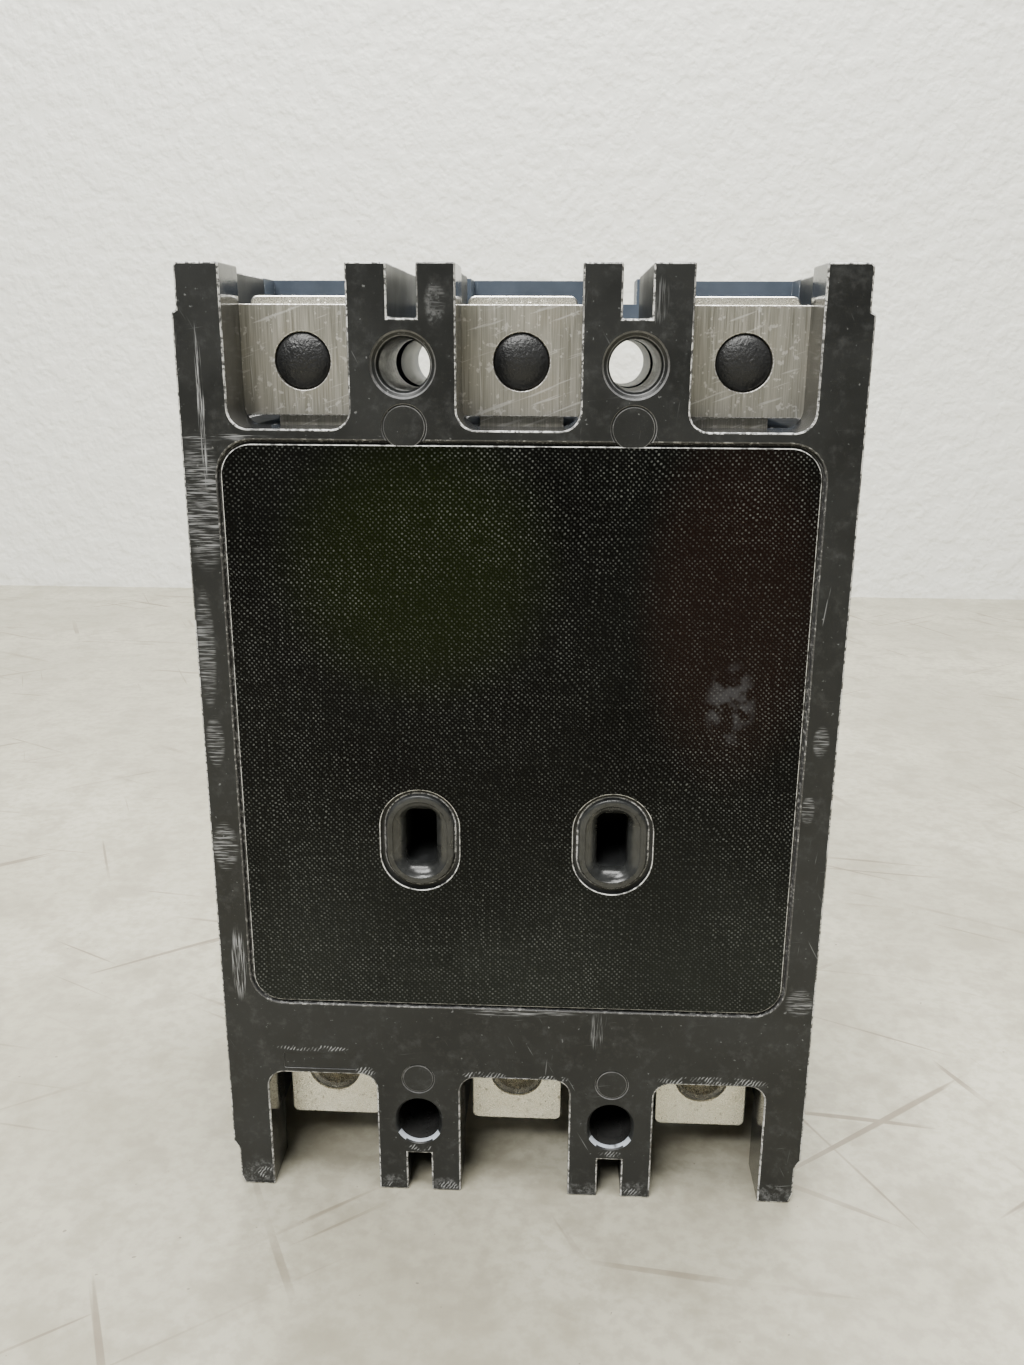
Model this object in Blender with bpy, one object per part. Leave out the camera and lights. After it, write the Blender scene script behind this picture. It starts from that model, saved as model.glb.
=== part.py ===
"""Three-pole molded case circuit breaker, 250 A frame, built as an assembly.

Design axes: X across the poles, Y from the back mounting face to the front, Z up with the
line end on top. All sizes below are in millimetres from the back face, the mid-plane and
the load end; the parent empty carries the whole assembly to its own origin.
The rest position is OFF, with the mechanism latched and the contacts open.
"""

import math

import bmesh
import bpy
from mathutils import Matrix, Vector

MM = 0.001
SEGMENTS = 18

# Case
WIDTH = 104.5
HEIGHT = 163.3
POLE_PITCH = 35.0
POLES = {"a": -POLE_PITCH, "b": 0.0, "c": POLE_PITCH}
BARRIER_X = POLE_PITCH / 2
BASE_DEPTH = 44.0
END_DEPTH = 54.0
BODY_DEPTH = 80.0
FACE_DEPTH = 84.0
ESCUTCHEON_DEPTH = 86.0
GAP = 0.3
HALF_WIDTH = WIDTH / 2
SIDE_WALL_X = 49.1
LEG_DEPTH = 10.3
BACK_WALL = 4.2
STEP_TOP = 0.75
STEP_BOTTOM = 0.95

# Line and load compartments
LINE_FLOOR = 139.1
LOAD_WINDOW_TOP = 24.5
LOAD_ROOF = 36.5
CHAMBER = (40.0, 136.2)
COMPARTMENT_HALF = 10.7
CHAMBER_HALF = 15.0
LINE_WINDOW_HALF = 9.4
LOAD_WINDOW_HALF = 9.9
WINDOW_RADIUS = 3.0

# Mounting holes and barrier slots
MOUNT_TOP_Z = 148.7
MOUNT_BOTTOM_Z = 15.0
BORE_RADIUS = 3.9
BORE_DEPTH = 20.3
LIP_RADIUS = 5.0
LIP_DEPTH = 0.9
SLOT_HALF = 2.18
TOP_SLOT_FLOOR = 155.4
BOTTOM_SLOT_ROOF = 8.05
SLOT_BARRIER_DEPTH = 36.2

# Insulating sheet and the two collars that stand through it
RECESS_DEPTH = 0.9
RECESS = (46.9, 38.9, 137.4)
RECESS_RADIUS = 5.6
SHEET_MARGIN = 0.6
SHEET_THICKNESS = 0.6
COLLAR_X = 16.3
COLLAR_Z = 70.9
COLLAR_HALF = (5.8, 8.2)
SHEET_CUTOUT_HALF = (6.7, 9.15)
COLLAR_SLOT_HALF = (2.6, 5.0)
COLLAR_SLOT_DEPTH = 18.0

# Terminals and lugs
PLATE_BACK = 10.5
PLATE_THICKNESS = 2.8
PLATE_HALF = 10.3
PLATE_TOP = 157.7
PLATE_BOTTOM = 140.6
PLATE_HOLE_RADIUS = 4.5
PLATE_HOLE_Z = 149.05
TONGUE_HALF = 6.8
TONGUE_SHIFT = 2.3
TONGUE_END = 108.0
LINE_LUG = (8.75, 13.6, 36.0, 141.2, 159.1)
LINE_SCREW_Z = 149.5
LOAD_LUG = (8.55, 10.6, 33.0, 8.3, 30.0)
LOAD_SCREW_Z = 18.4
WIRE_RADIUS = 6.2
LUG_BORE_RADIUS = 4.1
LUG_COUNTERBORE = (4.95, 1.0)
LUG_SCREW_RADIUS = 3.8
LUG_SCREW_LENGTH = 9.0

# Contacts and crossbar; each pair is (Y, Z)
CROSSBAR = (28.0, 88.0)
CROSSBAR_RADIUS = 5.5
CROSSBAR_CORE = 2.2
CROSSBAR_PIN = (4.0, 8.0)
OPEN_ANGLE = 40.0
ARM_HALF = 2.9

# Operating mechanism; each pair is (Y, Z)
HANDLE_PIVOT = (50.0, 84.0)
HANDLE_OFF_ANGLE = -22.5
HANDLE_RADIUS = 62.0
SHIELD_RADIUS = 27.0
SHIELD_SPAN = (-64.0, 54.0)
YOKE_RADIUS = 23.6
CRADLE_PIVOT = (47.5, 112.5)
UPPER_LINK_PIVOT = (54.0, 101.0)
KNEE = (48.2, 90.5)
LINK_LENGTH = 12.0
LATCH_PIVOT = (62.0, 74.0)
CRADLE_TIP = (60.0, 86.0)
SPRING_X = 7.0

# Trip unit; each pair is (Y, Z)
TRIP_BAR = (50.0, 68.0)
ARMATURE_PIVOT = (40.7, 58.5)
STRAP_BACK = 30.5
STRAP_THICKNESS = 2.5
BUTTON = (26.0, 78.0)
DIAL = (-28.0, 62.0)

# Name: (colour, roughness, metallic)
FINISHES = {
    "case_black": ((0.022, 0.022, 0.023), 0.42, 0.0),
    "cover_blue_grey": ((0.135, 0.165, 0.225), 0.5, 0.0),
    "laminate": ((0.012, 0.013, 0.012), 0.35, 0.0),
    "tinned_copper": ((0.55, 0.53, 0.49), 0.38, 1.0),
    "lug_plating": ((0.72, 0.70, 0.62), 0.45, 1.0),
    "plug_black": ((0.02, 0.02, 0.021), 0.55, 0.0),
    "steel": ((0.45, 0.45, 0.46), 0.35, 1.0),
    "copper": ((0.72, 0.33, 0.2), 0.4, 1.0),
    "fibre_red": ((0.35, 0.09, 0.05), 0.7, 0.0),
    "crossbar_plastic": ((0.05, 0.05, 0.052), 0.6, 0.0),
    "handle_black": ((0.03, 0.03, 0.032), 0.45, 0.0),
    "button_red": ((0.55, 0.03, 0.02), 0.4, 0.0),
    "dial_cream": ((0.62, 0.58, 0.48), 0.45, 0.0),
    "braid": ((0.6, 0.3, 0.18), 0.6, 1.0),
}


def clear_scene():
    for old in list(bpy.data.objects):
        bpy.data.objects.remove(old, do_unlink=True)


def make_finish(name):
    colour, roughness, metallic = FINISHES[name]
    finish = bpy.data.materials.new(name)
    finish.use_nodes = True
    shader = finish.node_tree.nodes["Principled BSDF"]
    shader.inputs["Base Color"].default_value = (*colour, 1.0)
    shader.inputs["Roughness"].default_value = roughness
    shader.inputs["Metallic"].default_value = metallic
    return finish


def add_object(name, mesh, finish=None, pivot=(0.0, 0.0, 0.0), tilt=0.0):
    """Puts a mesh drawn in design space under the parent empty, its origin on the pivot."""
    obj = bpy.data.objects.new(name, mesh)
    bpy.context.scene.collection.objects.link(obj)
    mesh.transform(Matrix.Translation(-Vector(pivot) * MM))
    obj.parent = ASSEMBLY
    obj.location = Vector(pivot) * MM
    obj.rotation_euler = (math.radians(tilt), 0.0, 0.0)
    if finish:
        mesh.materials.append(MATERIALS[finish])
        mesh.shade_smooth()
        mesh.set_sharp_from_angle(angle=math.radians(30))
    return obj


def add_helper(name, mesh, pivot, tilt):
    """A solid that only feeds a Boolean."""
    helper = add_object(name, mesh, None, pivot, tilt)
    helper.hide_render = True
    helper.display_type = "WIRE"
    return helper


def mesh_from(bm, name):
    bmesh.ops.recalc_face_normals(bm, faces=bm.faces)
    mesh = bpy.data.meshes.new(name)
    bm.to_mesh(mesh)
    bm.free()
    return mesh


def place(axis, across, along):
    """A point from its two coordinates in an outline's plane and one along the axis."""
    first, second = across
    point = {"x": (along, first, second), "y": (first, along, second), "z": (first, second, along)}
    return Vector(point[axis]) * MM


def add_prism(bm, outline, axis, start, end):
    """An outline in the plane across the axis, given as (y,z), (x,z) or (x,y), made solid."""
    near = [bm.verts.new(place(axis, point, start)) for point in outline]
    far = [bm.verts.new(place(axis, point, end)) for point in outline]
    bm.faces.new(near)
    bm.faces.new(far)
    for i in range(len(outline)):
        j = (i + 1) % len(outline)
        bm.faces.new((near[i], near[j], far[j], far[i]))


def add_turned(bm, profile, axis, centre, segments=SEGMENTS):
    """A solid of revolution from (distance along the axis, radius) pairs."""
    rings = []
    for along, radius in profile:
        ring = [
            bm.verts.new(place(axis, point, along))
            for point in circle(centre, radius, segments)
        ]
        rings.append(ring)
    bm.faces.new(rings[0])
    bm.faces.new(rings[-1])
    for near, far in zip(rings, rings[1:]):
        for i in range(segments):
            j = (i + 1) % segments
            bm.faces.new((near[i], near[j], far[j], far[i]))


def circle(centre, radius, segments=SEGMENTS):
    step = 2 * math.pi / segments
    return [
        (centre[0] + radius * math.cos(i * step), centre[1] + radius * math.sin(i * step))
        for i in range(segments)
    ]


def arc(centre, radius, start, end, steps=6):
    """Points on an arc, angles in degrees from the outline's first axis to its second."""
    turns = [math.radians(start + (end - start) * i / steps) for i in range(steps + 1)]
    return [(centre[0] + radius * math.cos(t), centre[1] + radius * math.sin(t)) for t in turns]


def rounded(x0, x1, z0, z1, radius, steps=5):
    """A rectangle with four round corners."""
    return (
        arc((x0 + radius, z0 + radius), radius, 180, 270, steps)
        + arc((x1 - radius, z0 + radius), radius, 270, 360, steps)
        + arc((x1 - radius, z1 - radius), radius, 0, 90, steps)
        + arc((x0 + radius, z1 - radius), radius, 90, 180, steps)
    )


def obround(centre, half, steps=8):
    """A slot outline with round ends above and below."""
    x, z = centre
    reach = half[1] - half[0]
    return arc((x, z + reach), half[0], 0, 180, steps) + arc((x, z - reach), half[0], 180, 360, steps)


def rectangle(x0, x1, z0, z1):
    return [(x0, z0), (x1, z0), (x1, z1), (x0, z1)]


def prisms(*shapes):
    """A bmesh holding one prism for each (outline, axis, start, end)."""
    bm = bmesh.new()
    for outline, axis, start, end in shapes:
        add_prism(bm, outline, axis, start, end)
    return bm


def block(x, y, z):
    """A box as a prism shape, from three (low, high) pairs."""
    return rectangle(*x, *z), "y", *y


def turned(*shapes):
    """A bmesh holding one turned solid for each (profile, axis, centre)."""
    bm = bmesh.new()
    for profile, axis, centre in shapes:
        add_turned(bm, profile, axis, centre)
    return bm


def rod(axis, centre, radius, start, end):
    return [(start, radius), (end, radius)], axis, centre


def build(name, finish, bm, steps=(), pivot=(0.0, 0.0, 0.0), tilt=0.0):
    """A part from its first solid and a list of (operation, bmesh) Boolean steps."""
    part = add_object(name, mesh_from(bm, name), finish, pivot, tilt)
    for number, (operation, helper_bm) in enumerate(steps):
        label = f"{name}_{operation.lower()}_{number}"
        helper = add_helper(label, mesh_from(helper_bm, label), pivot, tilt)
        boolean = part.modifiers.new(label, "BOOLEAN")
        boolean.operation = operation
        boolean.object = helper
        boolean.solver = "EXACT"
    return part


def case_outline():
    """The case seen from the back: narrower at the line end, notched at the load end."""
    half = HALF_WIDTH
    right = [
        (half - STEP_BOTTOM - 0.7, 0.0),
        (half - STEP_BOTTOM, 1.8),
        (half - STEP_BOTTOM, 7.7),
        (half, 9.3),
        (half, 156.1),
        (half - STEP_TOP, 156.5),
        (half - STEP_TOP, HEIGHT - 0.5),
        (half - STEP_TOP - 0.5, HEIGHT),
    ]
    return right + [(-x, z) for x, z in reversed(right)]


def window_outline(centre, half, edge, beyond):
    """A window open at one end, from its closed edge to past the end of the case."""
    radius = WINDOW_RADIUS
    if beyond > edge:
        corners = arc((centre - half + radius, edge + radius), radius, 180, 270) + arc(
            (centre + half - radius, edge + radius), radius, 270, 360
        )
        return corners + [(centre + half, beyond), (centre - half, beyond)]
    corners = arc((centre + half - radius, edge - radius), radius, 0, 90) + arc(
        (centre - half + radius, edge - radius), radius, 90, 180
    )
    return corners + [(centre - half, beyond), (centre + half, beyond)]


def compartment_spans(half):
    """The three compartments across X, the outer two running out to the side walls."""
    return (
        (-SIDE_WALL_X, -POLE_PITCH + half),
        (-half, half),
        (POLE_PITCH - half, SIDE_WALL_X),
    )


def compartments(front):
    """Cutters for the line and load compartments, from behind the legs to the front wall."""
    spans = compartment_spans(COMPARTMENT_HALF)
    line = [block(span, (LEG_DEPTH, front), (LINE_FLOOR, HEIGHT + 7)) for span in spans]
    load = [block(span, (LEG_DEPTH, front), (-5.0, LOAD_ROOF)) for span in spans]
    return prisms(*line, *load)


def windows():
    line = [
        (window_outline(x * 1.008, LINE_WINDOW_HALF, LINE_FLOOR, HEIGHT + 7), "y", -1.0, LEG_DEPTH + 1)
        for x in POLES.values()
    ]
    load = [
        (window_outline(x, LOAD_WINDOW_HALF, LOAD_WINDOW_TOP, -5.0), "y", -1.0, LEG_DEPTH + 1)
        for x in POLES.values()
    ]
    return prisms(*line, *load)


def barrier_slots(start, end, line_floor):
    """The slots for plug-in phase barriers, at both ends of the two inner legs."""
    shapes = []
    for x in (-BARRIER_X, BARRIER_X):
        span = (x - SLOT_HALF, x + SLOT_HALF)
        shapes.append(block(span, (start, end), (line_floor, HEIGHT + 7)))
        shapes.append(block(span, (start, end), (-5.0, BOTTOM_SLOT_ROOF)))
    return prisms(*shapes)


def mounting_points():
    return [(x, z) for x in (-BARRIER_X, BARRIER_X) for z in (MOUNT_TOP_Z, MOUNT_BOTTOM_Z)]


def cover_screw_points():
    return [(x, z) for x in (-BARRIER_X, BARRIER_X) for z in (131.6, 38.2)]


def base_cutters():
    chambers = [block(span, (BACK_WALL, 50.0), CHAMBER) for span in compartment_spans(CHAMBER_HALF)]
    crossbar_notches = [
        block((x - 4, x + 4), (20.0, 50.0), (80.5, 95.5)) for x in (-BARRIER_X, BARRIER_X)
    ]
    shelves = [
        block((x - 6.9, x + 6.9), (SLOT_BARRIER_DEPTH, 50.0), (TOP_SLOT_FLOOR, HEIGHT + 7))
        for x in (-BARRIER_X, BARRIER_X)
    ]
    strap_ways = [block((x - 6.4, x + 6.4), (30.2, 33.4), (35.0, 42.0)) for x in POLES.values()]
    tongue_ways = [
        block((x - TONGUE_HALF - 0.4, x + TONGUE_HALF + 0.4), (PLATE_BACK - 0.3, 13.7), (134.0, 141.0))
        for x in (tongue_centre(x) for x in POLES.values())
    ]
    return {
        "chambers": prisms(*chambers),
        "compartments": compartments(50.0),
        "windows": windows(),
        "slots": barrier_slots(-1.0, 50.0, TOP_SLOT_FLOOR),
        "notches": prisms(*crossbar_notches, *shelves),
        "ways": prisms(*strap_ways, *tongue_ways),
    }


def mounting_bores():
    """Through holes in the legs: round at the line end, slightly long at the load end."""
    bores = turned(*[
        ([(-1.0, BORE_RADIUS), (BORE_DEPTH + 1, BORE_RADIUS)], "y", (x, MOUNT_TOP_Z))
        for x in (-BARRIER_X, BARRIER_X)
    ])
    for x in (-BARRIER_X, BARRIER_X):
        add_prism(bores, obround((x, MOUNT_BOTTOM_Z), (3.75, 4.35)), "y", -1.0, BORE_DEPTH + 1)
    return bores


def mounting_sockets():
    """Wider sockets in the front of the base that take the cover's screw tubes."""
    return turned(*[
        rod("y", point, 5.85, BORE_DEPTH, 50.0) for point in mounting_points()
    ])


def mounting_lips():
    slope = (LIP_RADIUS - BORE_RADIUS) / LIP_DEPTH
    return turned(*[
        ([(-0.5, LIP_RADIUS + 0.5 * slope), (LIP_DEPTH, BORE_RADIUS)], "y", (x, MOUNT_TOP_Z))
        for x in (-BARRIER_X, BARRIER_X)
    ])


def recess_ring():
    """The sheet recess, as a plate with holes where the two collars stand."""
    half, low, high = RECESS
    recess = prisms((rounded(-half, half, low, high, RECESS_RADIUS), "y", -1.0, RECESS_DEPTH))
    return recess


def collars():
    """Bosses behind the back wall that carry the two long sockets."""
    shapes = [
        (rounded(x - 6.0, x + 6.0, COLLAR_Z - 9.5, COLLAR_Z + 9.5, 2.0), "y", BACK_WALL - 1, 21.0)
        for x in (-COLLAR_X, COLLAR_X)
    ]
    rims = [
        (obround((x, COLLAR_Z), COLLAR_HALF), "y", 0.0, 2.0) for x in (-COLLAR_X, COLLAR_X)
    ]
    return prisms(*shapes), prisms(*rims)


def collar_sockets():
    sockets = [
        (obround((x, COLLAR_Z), COLLAR_SLOT_HALF), "y", -1.0, COLLAR_SLOT_DEPTH)
        for x in (-COLLAR_X, COLLAR_X)
    ]
    return prisms(*sockets)


def collar_funnels():
    """The sloping mouth of each socket, from the rim down to the slot."""
    bm = bmesh.new()
    for x in (-COLLAR_X, COLLAR_X):
        mouth = obround((x, COLLAR_Z), (4.6, 7.0))
        throat = obround((x, COLLAR_Z), COLLAR_SLOT_HALF)
        outer = [bm.verts.new(place("y", point, -0.4)) for point in mouth]
        inner = [bm.verts.new(place("y", point, 2.6)) for point in throat]
        bm.faces.new(outer)
        bm.faces.new(inner)
        for i in range(len(mouth)):
            j = (i + 1) % len(mouth)
            bm.faces.new((outer[i], outer[j], inner[j], inner[i]))
    return bm


def build_base():
    cut = base_cutters()
    bosses, rims = collars()
    screw_bosses = turned(*[rod("y", point, 5.2, BACK_WALL - 1, BASE_DEPTH) for point in cover_screw_points()])
    screw_holes = turned(*[rod("y", point, 2.3, 24.0, 50.0) for point in cover_screw_points()])
    steps = [
        ("DIFFERENCE", cut["chambers"]),
        ("DIFFERENCE", cut["compartments"]),
        ("DIFFERENCE", cut["windows"]),
        ("UNION", screw_bosses),
        ("UNION", bosses),
        ("DIFFERENCE", recess_ring()),
        ("UNION", rims),
        ("DIFFERENCE", cut["slots"]),
        ("DIFFERENCE", cut["notches"]),
        ("DIFFERENCE", cut["ways"]),
        ("DIFFERENCE", mounting_bores()),
        ("DIFFERENCE", mounting_sockets()),
        ("DIFFERENCE", mounting_lips()),
        ("DIFFERENCE", collar_sockets()),
        ("DIFFERENCE", collar_funnels()),
        ("DIFFERENCE", screw_holes),
    ]
    build("base", "case_black", prisms((case_outline(), "y", 0.0, BASE_DEPTH)), steps)


def build_insulating_sheet():
    half, low, high = RECESS
    inset = SHEET_MARGIN
    outline = rounded(-half + inset, half - inset, low + inset, high - inset, RECESS_RADIUS - inset)
    back = RECESS_DEPTH - GAP
    sheet = prisms((outline, "y", back - SHEET_THICKNESS, back))
    holes = prisms(*[
        (obround((x, COLLAR_Z), SHEET_CUTOUT_HALF), "y", -1.0, 2.0) for x in (-COLLAR_X, COLLAR_X)
    ])
    build("insulating_sheet", "laminate", sheet, [("DIFFERENCE", holes)])


def build_front_cover():
    """The blue-grey half of the case: low end zones and a raised body over the mechanism."""
    back = BASE_DEPTH + GAP
    shell = prisms((case_outline(), "y", back, BODY_DEPTH))
    profile = [
        (back - 1, -1.0),
        (END_DEPTH, -1.0),
        (END_DEPTH, 44.0),
        (END_DEPTH + 1.5, 45.5),
        (BODY_DEPTH - 1.5, 47.0),
        (BODY_DEPTH + 1, 49.0),
        (BODY_DEPTH + 1, 122.0),
        (BODY_DEPTH - 1.5, 124.0),
        (END_DEPTH + 1.5, 125.5),
        (END_DEPTH, 127.0),
        (END_DEPTH, HEIGHT + 1),
        (back - 1, HEIGHT + 1),
    ]
    low_inside = prisms(block((-SIDE_WALL_X, SIDE_WALL_X), (20.0, END_DEPTH - 2.7), CHAMBER))
    body_inside = prisms(block((-49.6, 49.6), (20.0, BODY_DEPTH - 2.6), (50.0, 121.0)))
    points = mounting_points()
    tubes = turned(*[rod("y", point, 5.45, 26.2, END_DEPTH - 0.5) for point in points])
    bosses = turned(*[rod("y", point, 5.2, back, END_DEPTH - 0.5) for point in cover_screw_points()])
    bores = turned(*[
        ([(20.0, BORE_RADIUS), (45.3, BORE_RADIUS), (45.3, 4.4), (60.0, 4.4)], "y", point)
        for point in points
    ])
    screw_wells = turned(*[
        ([(40.0, 2.3), (50.0, 2.3), (50.0, 4.0), (60.0, 4.0)], "y", point)
        for point in cover_screw_points()
    ])
    lug_ways = turned(*[
        rod("y", (x, z), 5.4, 48.0, 60.0)
        for x in POLES.values()
        for z in (LINE_SCREW_Z, LOAD_SCREW_Z)
    ])
    openings = prisms(block((-6.9, 6.9), (70.0, 90.0), (58.5, 105.0)))
    add_turned(openings, *rod("y", BUTTON, 3.7, 70.0, 90.0))
    add_turned(openings, *rod("y", DIAL, 6.5, 70.0, 90.0))
    steps = [
        ("INTERSECT", prisms((profile, "x", -HALF_WIDTH - 1, HALF_WIDTH + 1))),
        ("DIFFERENCE", low_inside),
        ("DIFFERENCE", body_inside),
        ("DIFFERENCE", compartments(END_DEPTH - 2.7)),
        ("UNION", tubes),
        ("UNION", bosses),
        ("DIFFERENCE", bores),
        ("DIFFERENCE", barrier_slots(20.0, 60.0, 158.9)),
        ("DIFFERENCE", screw_wells),
        ("DIFFERENCE", lug_ways),
        ("DIFFERENCE", openings),
    ]
    build("front_cover", "cover_blue_grey", shell, steps)


def build_accessory_cover():
    """The face plate over the mechanism, with the handle's escutcheon."""
    plate = prisms((rounded(-50.4, 50.4, 50.0, 121.0, 2.0), "y", BODY_DEPTH + GAP, FACE_DEPTH))
    frame = prisms((rounded(-13.5, 13.5, 53.0, 110.5, 3.0), "y", BODY_DEPTH + 1, ESCUTCHEON_DEPTH))
    openings = prisms(block((-6.9, 6.9), (70.0, 90.0), (58.5, 105.0)))
    add_turned(openings, *rod("y", BUTTON, 3.7, 70.0, 90.0))
    add_turned(openings, *rod("y", DIAL, 6.5, 70.0, 90.0))
    steps = [("UNION", frame), ("DIFFERENCE", openings)]
    build("accessory_cover", "case_black", plate, steps)


def build_cover_screws():
    names = ("cover_screw_left_line", "cover_screw_left_load", "cover_screw_right_line", "cover_screw_right_load")
    for name, point in zip(names, cover_screw_points()):
        shank = [(25.0, 1.9), (50.3, 1.9), (50.3, 3.6), (52.2, 3.6), (53.0, 2.9)]
        cross = prisms(
            block((point[0] - 2.2, point[0] + 2.2), (51.5, 54.0), (point[1] - 0.4, point[1] + 0.4)),
        )
        build(name, "steel", turned((shank, "y", point)), [("DIFFERENCE", cross)])


def tongue_centre(x):
    """The inner end of each line terminal sits a little nearer to the middle."""
    return x - math.copysign(TONGUE_SHIFT, x) if x else 0.0


def build_line_terminal(pole, x):
    """A flat plate for the bus or lug, its tongue running in to the fixed contact."""
    middle = tongue_centre(x)
    outline = [
        (x - PLATE_HALF, PLATE_BOTTOM),
        (middle - TONGUE_HALF, PLATE_BOTTOM),
        (middle - TONGUE_HALF, TONGUE_END),
        (middle + TONGUE_HALF, TONGUE_END),
        (middle + TONGUE_HALF, PLATE_BOTTOM),
        (x + PLATE_HALF, PLATE_BOTTOM),
        (x + PLATE_HALF, PLATE_TOP),
        (x - PLATE_HALF, PLATE_TOP),
    ]
    front = PLATE_BACK + PLATE_THICKNESS
    plate = prisms((outline, "y", PLATE_BACK, front))
    contact = prisms(block((x - 3.5, x + 3.5), (front - 0.5, front + 1.5), (111.5, 120.0)))
    hole = turned(rod("y", (x, PLATE_HOLE_Z), PLATE_HOLE_RADIUS, PLATE_BACK - 1, front + 1))
    build(f"line_terminal_{pole}", "tinned_copper", plate, [("UNION", contact), ("DIFFERENCE", hole)])


def build_line_hole_plug(pole, x):
    """A domed moulded plug that fills the plate's hole."""
    rim = PLATE_HOLE_RADIUS - 0.1
    dome_rise = 1.5
    steps = 6
    dome = [
        (PLATE_BACK + 0.6 - dome_rise * math.cos(math.pi / 2 * i / steps), rim * math.sin(math.pi / 2 * i / steps))
        for i in range(1, steps + 1)
    ]
    profile = [(PLATE_BACK + 0.6 - dome_rise, 0.35)] + dome + [(PLATE_BACK + 2.7, rim)]
    build(f"line_hole_plug_{pole}", "plug_black", turned((profile, "y", (x, PLATE_HOLE_Z))))


def build_lug(name, x, sizes, screw_z, mouth, counterbored):
    """A box lug: a block with a wire hole along Z and a tapped hole along Y."""
    half, back, front, low, high = sizes
    body = prisms((rounded(x - half, x + half, low, high, 1.2, 3), "y", back, front))
    middle = (back + front) / 2 + 1.0
    if mouth == "top":
        wire = rod("z", (x, middle), WIRE_RADIUS, low + 2.5, high + 5)
    else:
        wire = rod("z", (x, middle), WIRE_RADIUS, low - 5, high - 2.5)
    steps = [("DIFFERENCE", turned(wire))]
    start = back - 1 if counterbored else middle
    steps.append(("DIFFERENCE", turned(rod("y", (x, screw_z), LUG_BORE_RADIUS, start, front + 1))))
    if counterbored:
        radius, depth = LUG_COUNTERBORE
        mouth_cone = [(back - 1, radius + 0.5), (back + depth, LUG_BORE_RADIUS)]
        steps.append(("DIFFERENCE", turned((mouth_cone, "y", (x, screw_z)))))
    build(name, "lug_plating", body, steps)


def build_lug_screw(name, x, z, front):
    """A clamp screw at the start of its travel, with a socket in its head."""
    tip = front - LUG_SCREW_LENGTH + 3.0
    head = front + 3.0
    profile = [
        (tip, 2.4),
        (tip + 1.0, LUG_SCREW_RADIUS),
        (head - 0.5, LUG_SCREW_RADIUS),
        (head, LUG_SCREW_RADIUS - 0.4),
    ]
    socket = prisms((circle((x, z), 2.3, 6), "y", head - 3.0, head + 1))
    pivot = (x, (tip + head) / 2, z)
    build(name, "steel", turned((profile, "y", (x, z))), [("DIFFERENCE", socket)], pivot)


def build_load_terminal(pole, x):
    """The strap from the trip unit down to a foot that rests on the load lug."""
    front = STRAP_BACK + STRAP_THICKNESS
    outline = [
        (12.0, 30.3),
        (front, 30.3),
        (front, 72.0),
        (STRAP_BACK, 72.0),
        (STRAP_BACK, 33.0),
        (12.0, 33.0),
    ]
    build(f"load_terminal_{pole}", "tinned_copper", prisms((outline, "x", x - 6.0, x + 6.0)))


def build_bimetal(pole, x):
    front = STRAP_BACK + STRAP_THICKNESS + GAP
    outline = [
        (front, 44.5),
        (front + 3.9, 44.5),
        (front + 3.9, 64.5),
        (front + 2.7, 64.5),
        (front + 2.7, 47.5),
        (front, 47.5),
    ]
    build(f"bimetal_{pole}", "steel", prisms((outline, "x", x - 4.0, x + 4.0)))


def build_magnet_yoke(pole, x):
    """A U of steel round the strap, its two arms facing the armature."""
    outline = [
        (x - 9.0, 26.6),
        (x + 9.0, 26.6),
        (x + 9.0, 36.2),
        (x + 6.8, 36.2),
        (x + 6.8, 29.8),
        (x - 6.8, 29.8),
        (x - 6.8, 36.2),
        (x - 9.0, 36.2),
    ]
    build(f"magnet_yoke_{pole}", "steel", prisms((outline, "z", 49.0, 57.0)))


def build_armature(pole, x):
    """A hinged plate: its face is drawn to the yoke and its tail pushes the trip bar."""
    y, z = ARMATURE_PIVOT
    face = prisms(
        (
            [
                (x - 9.0, z - 11.0),
                (x + 9.0, z - 11.0),
                (x + 9.0, z + 0.7),
                (x + 2.2, z + 0.7),
                (x + 2.2, z + 4.5),
                (x - 2.2, z + 4.5),
                (x - 2.2, z + 0.7),
                (x - 9.0, z + 0.7),
            ],
            "y",
            y - 0.7,
            y + 0.7,
        )
    )
    pin = turned(rod("x", ARMATURE_PIVOT, 1.1, x - 10.5, x + 10.5))
    build(f"armature_{pole}", "steel", face, [("UNION", pin)], (x, y, z))


def build_arc_chute(pole, x):
    """Splitter plates in a fibre frame, with a notch for the contact arm's sweep."""
    body = prisms(block((x - 12.0, x + 12.0), (16.4, 41.8), (108.5, 135.0)))
    pitch = 3.4
    gaps = [
        block((x - 10.8, x + 10.8), (18.0 + i * pitch, 20.2 + i * pitch), (100.0, 140.0))
        for i in range(7)
    ]
    notch = prisms((rounded(x - 4.6, x + 4.6, 100.0, 124.6, 2.5, 3), "y", 10.0, 50.0))
    build(f"arc_chute_{pole}", "fibre_red", body, [("DIFFERENCE", prisms(*gaps)), ("DIFFERENCE", notch)])


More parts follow.
